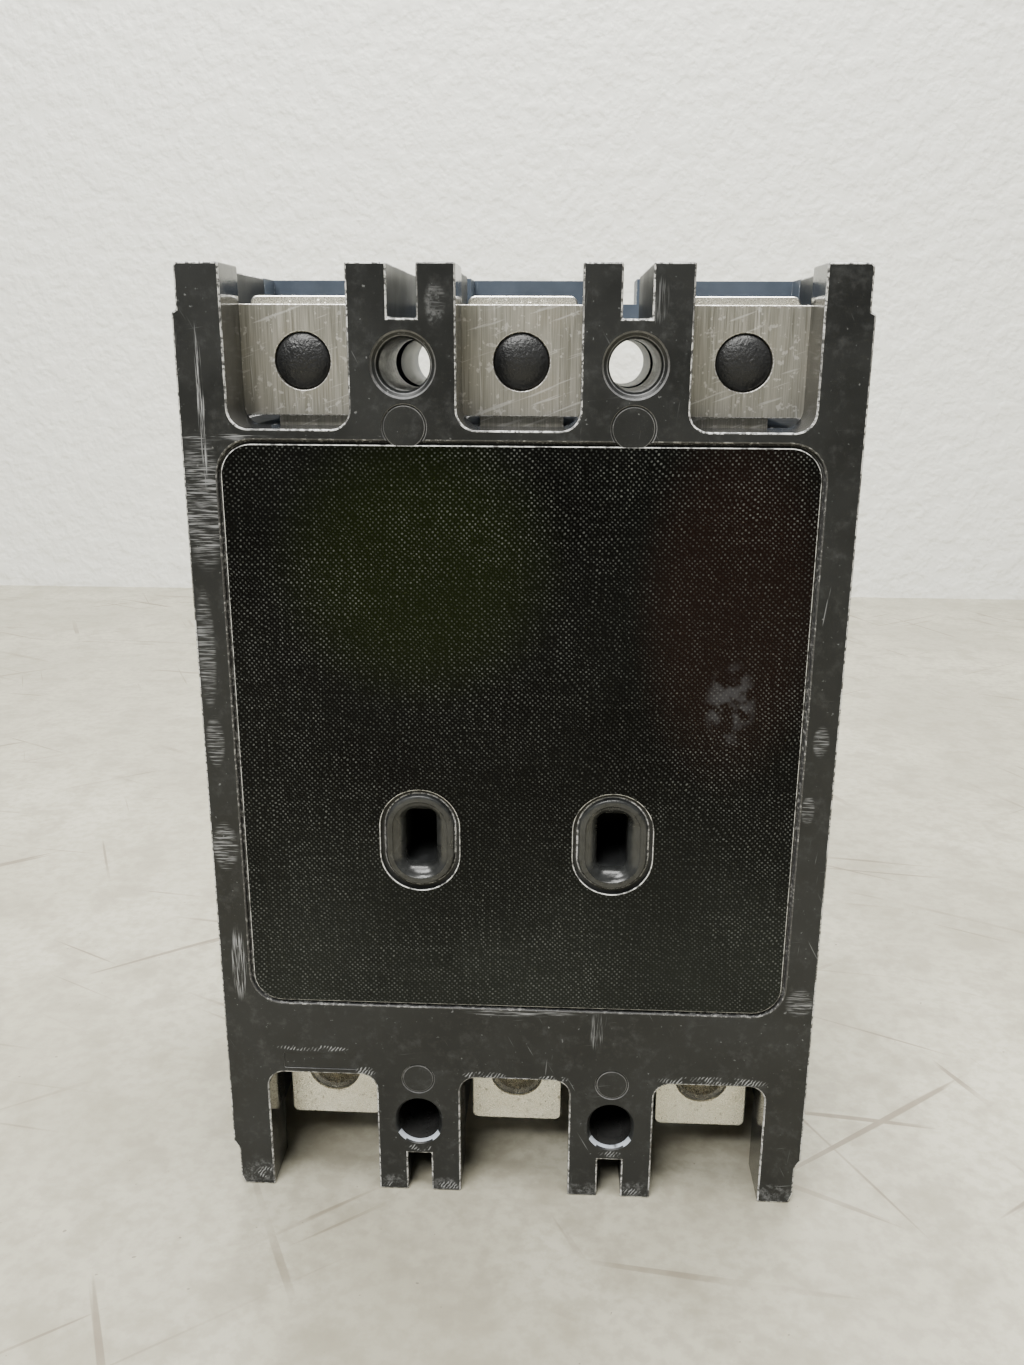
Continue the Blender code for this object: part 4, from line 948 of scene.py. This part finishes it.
def on_a_rubbed_and_highlit_ring(centre, normal):
    """The raised lines round the ejector marks, rubbed pale, and the lips of the line-end screw
    mouths, where the pale grey is a painted highlight.
    """
    if centre.y > 1.0:
        return False
    if any(abs(from_barrier_hole(centre, z) - radius + 0.15) < 0.3 for radius, z in EJECTOR_MARKS):
        return True
    # Painted highlight: the rounded lip and the step into the bore at each line-end screw mouth.
    from_mouth = from_barrier_hole(centre, MOUNT_TOP_Z)
    return centre.y > 0.05 and (4.85 < from_mouth < 5.25 or 3.9 < from_mouth < 4.3)


def on_recess_edge(centre, normal):
    """The rounded wall and lip of the recess that holds the sheet."""
    half, low, high = RECESS
    across = abs(centre.x) - half + RECESS_RADIUS
    along = abs(centre.z - (low + high) / 2) - (high - low) / 2 + RECESS_RADIUS
    from_edge = math.hypot(max(across, 0.0), max(along, 0.0)) + min(max(across, along), 0.0)
    return 0.0 < centre.y < RECESS_DEPTH and abs(from_edge - RECESS_RADIUS) < 0.4


def on_a_collar(centre, normal):
    """The rim and dished mouth of each collar."""
    return centre.y < 3.0 and from_collar_middle(centre) < COLLAR_HALF[0] + 0.05


def in_a_top_bore(centre, normal):
    """The base's part of the two line-end holes, whose walls take scuffs and a painted reflection."""
    return centre.y < BORE_DEPTH and from_barrier_hole(centre, MOUNT_TOP_Z) < BORE_RADIUS + 0.02


def make_base(finishes):
    chambers, notches, ways = base_cutters()
    bosses, rims = collars()
    half, low, high = RECESS
    recess = prisms((rounded(-half, half, low, high, RECESS_RADIUS), "y", -1.0, RECESS_DEPTH))
    points = cover_screw_points()
    along = (BACK_WALL - 1, BASE_DEPTH)
    screw_bosses = turned(*[rod("y", at, COVER_SCREW_BOSS, *along) for at in points])
    screw_holes = turned(*[rod("y", at, COVER_SCREW_HOLE, 24.0, 50.0) for at in points])
    along = (-1.0, BORE_DEPTH + 1)
    bores = turned(*[rod("y", (x, MOUNT_TOP_Z), BORE_RADIUS, *along) for x in BARRIERS])
    for x in BARRIERS:
        add_prism(bores, obround((x, MOUNT_BOTTOM_Z), BOTTOM_BORE_HALF), "y", *along)
    sockets = turned(*[rod("y", point, 5.85, BORE_DEPTH, 50.0) for point in mounting_points()])
    steps = [
        (CUT, chambers),
        (CUT, compartments(50.0)),
        (CUT, windows()),
        (JOIN, screw_bosses),
        (JOIN, bosses),
        (CUT, recess),
        (JOIN, rims),
        (CUT, barrier_slots(-1.0, 50.0, TOP_SLOT_FLOOR)),
        (CUT, notches),
        (CUT, ways),
        (CUT, sockets),
        (CUT, screw_holes),
    ]
    details = [
        (CUT, bores),
        (CUT, mounting_mouths()),
        (CUT, bottom_mouths()),
        (CUT, collar_funnels()),
        (CUT, at_ejector_marks([(-0.5, 0.0), (0.16, 0.0), (0.22, 0.12)])),
        (JOIN, at_ejector_marks([(1.0, 0.35), (0.1, 0.35), (0.05, 0.45)])),
        (CUT, pad_cuts()),
    ]
    base = carve("case_base", prisms((case_outline(), "y", 0.0, BASE_DEPTH)), steps)
    finish_edges(base, 0.28, finishes["case"], finishes["case_edge"], details=details, clamp=False)
    paint(base, finishes["rubbed_and_highlit"], in_a_pad)
    # The upward faces of the load-end bores get a painted highlight, fading into painted shade.
    paint(base, finishes["lit_bore_paint"], in_a_bottom_bore)
    # Scuffs and a painted reflection on the line-end bore walls.
    paint(base, finishes["bore"], in_a_top_bore)
    paint(base, finishes["recess_edge"], on_recess_edge)
    paint(base, finishes["gloss"], in_window)
    # Rubbed ejector rings, and a painted highlight on the screw mouths' lips.
    paint(base, finishes["rubbed_and_highlit"], on_a_rubbed_and_highlit_ring)
    paint(base, finishes["collar"], on_a_collar)
    stand_in(base, "case", "base")


def make_sheet(finishes):
    half, low, high = RECESS
    inset = SHEET_MARGIN
    radius = RECESS_RADIUS - inset
    outline = rounded(inset - half, half - inset, low + inset, high - inset, radius, 16)
    back = RECESS_DEPTH - GAP
    blank = prisms((outline, "y", back - SHEET_THICKNESS, back))
    cutouts = [obround((x, COLLAR_Z), SHEET_CUTOUT_HALF, 28) for x in COLLARS]
    holes = prisms(*[(cutout, "y", -1.0, 2.0) for cutout in cutouts])
    sheet = carve("laminate_sheet", blank, [(CUT, holes)])
    finish_edges(sheet, 0.14, finishes["laminate"], finishes["cut_edge"], segments=1)
    stand_in(sheet, "case", "insulating_sheet")


def make_front_cover(finishes):
    back = BASE_DEPTH + GAP
    profile = [
        (back - 1, -1.0),
        (END_DEPTH, -1.0),
        (END_DEPTH, 44.0),
        (END_DEPTH + 1.5, 45.5),
        (BODY_DEPTH - 1.5, 47.0),
        (BODY_DEPTH, 48.0),
        (BODY_DEPTH, 123.0),
        (BODY_DEPTH - 1.5, 124.0),
        (END_DEPTH + 1.5, 125.5),
        (END_DEPTH, 127.0),
        (END_DEPTH, HEIGHT + 1),
        (back - 1, HEIGHT + 1),
    ]
    low_inside = prisms(block((-SIDE_WALL_X, SIDE_WALL_X), (20.0, END_DEPTH - 2.7), CHAMBER))
    body_inside = prisms(block((-49.6, 49.6), (20.0, BODY_DEPTH - 2.6), (50.0, 121.0)))
    points = mounting_points()
    tubes = turned(*[rod("y", point, 5.45, 26.2, END_DEPTH - 0.5) for point in points])
    screw_points = cover_screw_points()
    bosses = turned(*[rod("y", at, COVER_SCREW_BOSS, back, END_DEPTH - 0.5) for at in screw_points])
    bores = turned(*[
        ([(20.0, BORE_RADIUS), (45.3, BORE_RADIUS), (45.35, 4.4), (60.0, 4.4)], "y", point)
        for point in points
    ])
    wells = turned(*[
        ([(40.0, COVER_SCREW_HOLE), (50.0, COVER_SCREW_HOLE), (50.02, 4.0), (60.0, 4.0)], "y", at)
        for at in screw_points
    ])
    lug_ways = turned(*[
        rod("y", (x, z), 5.4, 48.0, 60.0)
        for x in POLES.values()
        for z in (LINE_SCREW_Z, LOAD_SCREW_Z)
    ])
    steps = [
        (KEEP, prisms((profile, "x", -HALF_WIDTH - 1, HALF_WIDTH + 1))),
        (CUT, low_inside),
        (CUT, body_inside),
        (CUT, compartments(END_DEPTH - 2.7)),
        (JOIN, tubes),
        (JOIN, bosses),
        (CUT, bores),
        (CUT, barrier_slots(20.0, 60.0, 158.9)),
        (CUT, wells),
        (CUT, lug_ways),
        (CUT, face_openings()),
    ]
    cover = carve("case_cover", prisms((case_outline(), "y", back, BODY_DEPTH + 1)), steps)
    finish_edges(cover, 0.35, finishes["cover"], finishes["cover_edge"])
    stand_in(cover, "case", "front_cover")


def face_openings():
    openings = prisms(block((-6.9, 6.9), (70.0, 90.0), (58.5, 105.0)))
    add_turned(openings, *rod("y", BUTTON, 3.7, 70.0, 90.0))
    add_turned(openings, *rod("y", DIAL, 6.5, 70.0, 90.0))
    return openings


def make_accessory_cover(finishes):
    plate = prisms((rounded(-50.4, 50.4, 50.0, 121.0, 2.0), "y", BODY_DEPTH + GAP, FACE_DEPTH))
    rim = prisms((rounded(-13.5, 13.5, 53.0, 110.5, 3.0), "y", BODY_DEPTH + 1, ESCUTCHEON_DEPTH))
    sunk = (FACE_DEPTH - 0.25, FACE_DEPTH + 5)
    groove = (FACE_DEPTH - 0.4, FACE_DEPTH + 1)
    steps = [
        (CUT, prisms((rounded(-46.0, -17.5, 78.0, 114.0, 1.5), "y", *sunk))),
        (CUT, prisms((rounded(18.0, 46.0, 92.0, 114.0, 1.5), "y", *sunk))),
        (CUT, turned(rod("y", BUTTON, 5.2, *groove), rod("y", DIAL, 8.4, *groove))),
        (JOIN, rim),
        (CUT, face_openings()),
    ]
    cover = carve("face_cover", plate, steps)
    finish_edges(cover, 0.3, finishes["face"], finishes["case_edge"])
    stand_in(cover, "case", "accessory_cover")


def make_line_terminal(pole, x, finishes):
    middle = tongue_centre(x)
    front = PLATE_BACK + PLATE_THICKNESS
    outline = [
        (x - PLATE_HALF, PLATE_BOTTOM),
        (middle - TONGUE_HALF, PLATE_BOTTOM),
        (middle - TONGUE_HALF, TONGUE_END),
        (middle + TONGUE_HALF, TONGUE_END),
        (middle + TONGUE_HALF, PLATE_BOTTOM),
        (x + PLATE_HALF, PLATE_BOTTOM),
        (x + PLATE_HALF, PLATE_TOP),
        (x - PLATE_HALF, PLATE_TOP),
    ]
    tongue_back = PLATE_BACK + TONGUE_SET_BACK
    ends = (TONGUE_END - 1, PLATE_BOTTOM)
    behind = block((x - 12.0, x + 12.0), (PLATE_BACK - 1, tongue_back), ends)
    contact = block((x - 3.5, x + 3.5), (front - 0.5, front + 1.5), (111.5, 120.0))
    hole = turned(rod("y", (x, PLATE_HOLE_Z), PLATE_HOLE_RADIUS, PLATE_BACK - 1, front + 1))
    steps = [(CUT, prisms(behind)), (JOIN, prisms(contact)), (CUT, hole)]
    plate = carve(f"line_plate_{pole}", prisms((outline, "y", PLATE_BACK, front)), steps)
    finish_edges(plate, 0.16, finishes["plate"], finishes["burr"])
    stand_in(plate, "case", f"line_terminal_{pole}")


def make_plug(pole, x, finishes):
    """A domed plug whose pebbled skin is real relief."""
    rim = PLATE_HOLE_RADIUS - 0.1
    edge, rise, rings = PLATE_BACK + 0.6, 1.5, 26
    turns = [math.pi / 2 * i / rings for i in range(1, rings + 1)]
    dome = [(edge - rise * math.cos(turn), rim * math.sin(turn)) for turn in turns]
    profile = [(edge - rise, 0.05)] + dome + [(PLATE_BACK + 2.7, rim)]
    bm = bmesh.new()
    add_turned(bm, profile, "y", (x, PLATE_HOLE_Z), 96)
    plug = object_from(bm, f"hole_plug_{pole}")
    pebble = bpy.data.textures.new(f"pebble_{pole}", "CLOUDS")
    pebble.noise_scale = 0.0004
    displace = plug.modifiers.new("pebble", "DISPLACE")
    displace.texture = pebble
    displace.texture_coords = "LOCAL"
    displace.strength = 0.00006
    displace.mid_level = 1.0
    plug.data.materials.append(finishes["plug"])
    plug.data.shade_smooth()
    stand_in(plug, "case", f"line_hole_plug_{pole}")


def thread_profile(start, end, crest, root):
    """A zigzag along Y for a tapped hole."""
    profile = [(start, crest)]
    y = start + 0.1
    while y + THREAD_PITCH < end:
        profile += [(y, crest), (y + THREAD_PITCH / 2, root)]
        y += THREAD_PITCH
    return profile + [(y, crest), (end, crest)]


def make_lug(end, pole, x, sizes, screw_z, finishes):
    """A wire lug. The load end's opens below and is threaded from its back face too."""
    half, back, front, low, high = sizes
    body = prisms((rounded(x - half, x + half, low, high, 1.2, 5), "y", back, front))
    middle = (back + front) / 2 + 1.0
    ends = (low + 2.5, high + 5) if end == "line" else (low - 5, high - 2.5)
    crest = LUG_BORE_RADIUS
    root = LUG_BORE_RADIUS + 0.5
    hole = (x, screw_z)
    details = []
    if end == "load":
        thread = thread_profile(back - 0.5, middle - 3.0, crest, root)
        cone = [(back - 0.6, 5.1), (back + 0.25, 4.95), (back + 0.5, 4.75), (back + 1.0, crest)]
        details += [(CUT, turned((thread, "y", hole))), (CUT, turned((cone, "y", hole)))]
    thread = thread_profile(middle + 3.0, front + 1.0, crest, root)
    details.append((CUT, turned((thread, "y", hole))))
    wire = turned(rod("z", (x, middle), WIRE_RADIUS, *ends))
    lug = carve(f"{end}_lug_body_{pole}", body, [(CUT, wire)])
    finish_edges(lug, 0.25, finishes["lug"], finishes["lug_edge"], angle=40, details=details)

    def in_the_thread(centre, normal):
        from_axis = math.hypot(centre.x - x, centre.z - screw_z)
        return from_axis < root + 0.05 and abs(normal.y) < 0.97

    def in_the_mouth(centre, normal):
        from_axis = math.hypot(centre.x - x, centre.z - screw_z)
        at_back = centre.y < back + 1.2 and abs(normal.y) < 0.97
        return at_back and root + 0.05 < from_axis < 5.2

    paint(lug, finishes["thread"], in_the_thread)
    paint(lug, finishes["lug_edge"], in_the_mouth)
    stand_in(lug, "case", f"{end}_lug_{pole}")


def turn_mesh(obj, pivot, angle):
    """Turns a mesh about X through a (Y, Z) pivot."""
    centre = place("x", pivot, 0.0)
    rotation = Matrix.Rotation(math.radians(angle), 4, "X")
    obj.data.transform(Matrix.Translation(centre) @ rotation @ Matrix.Translation(-centre))


def make_handle(finishes):
    y, z = HANDLE_PIVOT
    inner = SHIELD_RADIUS - 1.6
    low, high = SHIELD_SPAN
    shield = arc(HANDLE_PIVOT, SHIELD_RADIUS, low, high, 48)
    shield += arc(HANDLE_PIVOT, inner, high, low, 48)
    lever = (
        [(y + inner + 0.5, z - 4.3), (y + HANDLE_RADIUS - 3.0, z - 3.4)]
        + arc((y + HANDLE_RADIUS - 2.2, z - 1.2), 2.2, -80, 0, 5)
        + arc((y + HANDLE_RADIUS - 2.2, z + 1.2), 2.2, 0, 80, 5)
        + [(y + HANDLE_RADIUS - 3.0, z + 3.4), (y + inner + 0.5, z + 4.3)]
    )
    grips = []
    for side in (-1, 1):
        for i in range(6):
            at = y + HANDLE_RADIUS - 15.0 + i * 2.0
            outer, bottom = z + side * 6, z + side * 3.35
            groove = [(at, outer), (at, bottom), (at + 0.9, bottom), (at + 0.9, outer)]
            grips.append((groove, "x", -5.2, 5.2))
    steps = [(JOIN, prisms((lever, "x", -6.2, 6.2))), (CUT, prisms(*grips))]
    handle = carve("toggle_handle", prisms((shield, "x", -8.8, 8.8)), steps)
    turn_mesh(handle, HANDLE_PIVOT, HANDLE_OFF_ANGLE)
    finish_edges(handle, 0.35, finishes["handle"], finishes["handle"], segments=3)
    stand_in(handle, "handle", "handle")


def make_cover_screws(finishes):
    nodes = [f"cover_screw_{side}_{end}" for side in ("left", "right") for end in ("line", "load")]
    head = [(50.3, 1.9), (50.32, 3.6), (51.6, 3.6), (52.4, 3.3), (52.9, 2.6), (53.0, 2.0)]
    for node, (x, z) in zip(nodes, cover_screw_points()):
        shank = thread_profile(25.0, 46.0, 1.9, 1.6) + head
        cross = [
            (CUT, prisms(block((x - half_x, x + half_x), (51.4, 54.0), (z - half_z, z + half_z))))
            for half_x, half_z in ((2.3, 0.45), (0.45, 2.3))
        ]
        screw = carve(node + "_detail", turned((shank, "y", (x, z))), cross)
        finish_edges(screw, 0.1, finishes["steel"], angle=50)
        stand_in(screw, "case", node)


def make_lug_screws(finishes):
    for end, z, front in (("line", LINE_SCREW_Z, LINE_LUG[2]), ("load", LOAD_SCREW_Z, LOAD_LUG[2])):
        for pole, x in POLES.items():
            node = f"{end}_lug_screw_{pole}"
            tip = front - 6.0
            head = front + 3.0
            thread = thread_profile(tip + 1.0, head - 0.6, 3.8, 3.35)
            profile = [(tip, 2.4), (tip + 0.9, 3.3)] + thread + [(head, 3.4)]
            socket = prisms((circle((x, z), 2.3, 6), "y", head - 3.0, head + 1))
            screw = carve(node + "_detail", turned((profile, "y", (x, z))), [(CUT, socket)])
            finish_edges(screw, 0.08, finishes["steel"], angle=60)
            stand_in(screw, node, node)


def make_button_and_dial(finishes):
    profile = [(58.2, 1.6), (74.0, 1.6), (74.02, 4.8), (76.5, 4.8), (76.52, 3.3)]
    profile += [(85.2, 3.3), (85.6, 3.2), (85.9, 2.9), (86.0, 2.4)]
    button = carve("push_to_trip", turned((profile, "y", BUTTON)))
    finish_edges(button, 0.12, finishes["red"], angle=50)
    stand_in(button, "trip_button", "trip_button")
    x, z = DIAL
    profile = [(68.0, 2.0), (74.0, 2.0), (74.02, 7.4), (76.5, 7.4), (76.52, 6.1)]
    profile += [(84.4, 6.1), (84.8, 5.9), (85.0, 5.5)]
    slot = prisms((rounded(x - 4.2, x + 4.2, z - 0.6, z + 0.6, 0.4, 3), "y", 83.4, 87.0))
    dial = carve("setting_dial", turned((profile, "y", DIAL)), [(CUT, slot)])
    finish_edges(dial, 0.12, finishes["cream"], angle=50)
    stand_in(dial, "trip_dial", "trip_dial")


def make_dial_ticks(finishes):
    """Plain tick marks round the dial."""
    bm = bmesh.new()
    depth = (FACE_DEPTH - 0.02, FACE_DEPTH + 0.08)
    x, z = DIAL
    for i in range(9):
        turn = math.radians(-30 + i * 30)
        along = Vector((math.cos(turn), math.sin(turn)))
        side = Vector((-along.y, along.x)) * 0.22
        inner = Vector((x, z)) + along * 9.2
        outer = Vector((x, z)) + along * 11.0
        outline = [tuple(p) for p in (inner - side, outer - side, outer + side, inner + side)]
        add_prism(bm, outline, "y", *depth)
    ticks = object_from(bm, "dial_ticks")
    ticks.data.materials.append(finishes["mark"])
    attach(ticks, "case")


CAD_FINISHES = {
    "arc_chute": "fibre",
    "contact_arm": "copper",
    "flexible_shunt": "braid",
    "load_terminal": "plate",
    "bimetal": "steel",
    "magnet_yoke": "steel",
    "armature": "steel",
    "crossbar": "inner",
    "trip_bar": "inner",
    "handle_yoke": "steel",
    "mechanism_frame": "steel",
    "cradle": "steel",
    "latch": "steel",
    "toggle_": "steel",
    "operating_spring": "steel",
}


def finish_cad_nodes(finishes):
    """The sealed inner parts keep their CAD shape and take a detailed finish."""
    for name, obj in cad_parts.items():
        for prefix, key in CAD_FINISHES.items():
            if name.startswith(prefix):
                for slot in obj.material_slots:
                    slot.material = finishes[key]


# ------------------------------------------------------------------- the stage


def make_stage():
    floor = Nodes("floor_laminate")
    cloud = floor.noise(70.0, 4.0)
    fine = floor.noise(3.0, 4.0, 0.6)
    mottle = floor.noise(14.0, 5.0, 0.62)
    lines = [
        floor.ramp(floor.noise(5.0, 2.5, 0.5, (0.03, 1.0, 1.0), turn, True), 0.668, 0.69)
        for turn in (28.0, -36.0, 64.0, 8.0)
    ]
    scratches = floor.times(largest(floor, lines), floor.ramp(floor.noise(55.0, 2.0), 0.42, 0.6))
    specks = floor.ramp(floor.noise(1.6, 1.0), 0.78, 0.8)
    tint = floor.mix(floor.ramp(cloud, 0.3, 0.7), (0.33, 0.312, 0.24), (0.445, 0.425, 0.337))
    tint = floor.mix(floor.ramp(mottle, 0.44, 0.66, 0.0, 0.6), tint, (0.245, 0.225, 0.168))
    tint = floor.mix(floor.ramp(fine, 0.4, 0.64, 0.0, 0.45), tint, (0.255, 0.235, 0.178))
    tint = floor.mix(floor.times(scratches, 0.75), tint, (0.15, 0.12, 0.085))
    tint = floor.mix(floor.times(specks, 0.7), tint, (0.12, 0.1, 0.08))
    rough = floor.ramp(cloud, 0.3, 0.7, 0.34, 0.46)
    floor_finish = floor.set(Base_Color=tint, Roughness=rough, Normal=floor.bump(fine, 0.05, 0.4))
    wall = Nodes("wall_paint")
    peel = wall.plus(wall.noise(11.0, 2.0), wall.times(wall.noise(4.5, 2.0), 0.45))
    wall_bump = wall.bump(wall.ramp(peel, 0.5, 0.95), 0.8, 0.65)
    wall_finish = wall.set(Base_Color=(0.93, 0.94, 0.885), Roughness=0.5, Normal=wall_bump)
    side, wall_y = STAGE_HALF, BACK + WALL_DISTANCE
    for name, near, far, finish in (
        ("stage_floor", (-side, 0), (wall_y, 0), floor_finish),
        ("stage_wall", (wall_y, 0), (wall_y, WALL_HEIGHT), wall_finish),
    ):
        mesh = bpy.data.meshes.new(name)
        corners = [(-side, *near), (side, *near), (side, *far), (-side, *far)]
        mesh.from_pydata(corners, [], [(0, 1, 2, 3)])
        obj = add_object(name, mesh)
        mesh.materials.append(finish)


def add_area_light(name, location, target, size, watts, colour=(1.0, 1.0, 1.0)):
    data = bpy.data.lights.new(name, "AREA")
    data.shape = "RECTANGLE"
    data.size, data.size_y = size
    data.energy = watts
    data.color = colour
    light = add_object(name, data)
    light.location = location
    direction = Vector(target) - Vector(location)
    light.rotation_euler = direction.to_track_quat("-Z", "Y").to_euler()


def make_lights():
    """A wide ceiling panel, a smaller one above the viewer, a dim room and a backdrop.

    Only camera rays see the backdrop, so it adds no light.
    """
    world = bpy.data.worlds.new("soft_room")
    bpy.context.scene.world = world
    world.use_nodes = True
    background = world.node_tree.nodes["Background"]
    background.inputs["Color"].default_value = (0.9, 0.92, 0.9, 1.0)
    background.inputs["Strength"].default_value = ROOM_GLOW
    backdrop = world.node_tree.nodes.new("ShaderNodeBackground")
    backdrop.inputs["Color"].default_value = (0.86, 0.87, 0.84, 1.0)
    backdrop.inputs["Strength"].default_value = BACKDROP_GLOW
    seen = world.node_tree.nodes.new("ShaderNodeLightPath")
    choice = world.node_tree.nodes.new("ShaderNodeMixShader")
    links = world.node_tree.links
    links.new(seen.outputs["Is Camera Ray"], choice.inputs["Fac"])
    links.new(background.outputs[0], choice.inputs[1])
    links.new(backdrop.outputs[0], choice.inputs[2])
    links.new(choice.outputs[0], world.node_tree.nodes["World Output"].inputs["Surface"])
    over, aim = (0.05, 0.16, 1.2), (0.0, 0.16, 0.0)
    add_area_light("ceiling_panel", over, aim, (1.2, 0.7), 55, (1.0, 0.99, 0.95))
    in_front, aim = (-0.35, -0.75, 1.05), (0.0, 0.1, 0.05)
    add_area_light("front_panel", in_front, aim, (0.6, 0.4), 19, (1.0, 0.99, 0.96))


def make_camera():
    """The photograph's viewpoint, solved from the object's own edges."""
    data = bpy.data.cameras.new("camera")
    data.sensor_fit = "VERTICAL"
    data.sensor_height = 36.0
    data.lens = CAMERA_LENS
    data.clip_start = 0.01
    camera = add_object("camera", data)
    yaw, pitch, roll = (math.radians(angle) for angle in CAMERA_TURNS)
    rotation = Matrix.Rotation(yaw, 4, "Z") @ Matrix.Rotation(pitch, 4, "X")
    rotation = rotation @ Matrix.Rotation(roll, 4, "Y")
    rotation = rotation @ Matrix.Rotation(math.radians(90), 4, "X")
    location = Vector(CAMERA_AT) * MM + Vector((0.0, BACK, 0.0))
    camera.matrix_world = Matrix.Translation(location) @ rotation
    bpy.context.scene.camera = camera


def main():
    finishes = make_finishes()
    make_base(finishes)
    make_sheet(finishes)
    make_front_cover(finishes)
    make_accessory_cover(finishes)
    for pole, x in POLES.items():
        make_line_terminal(pole, x, finishes)
        make_plug(pole, x, finishes)
        make_lug("line", pole, x, LINE_LUG, LINE_SCREW_Z, finishes)
        make_lug("load", pole, x, LOAD_LUG, LOAD_SCREW_Z, finishes)
    make_handle(finishes)
    make_cover_screws(finishes)
    make_lug_screws(finishes)
    make_button_and_dial(finishes)
    make_dial_ticks(finishes)
    finish_cad_nodes(finishes)
    make_stage()
    make_lights()
    make_camera()


main()
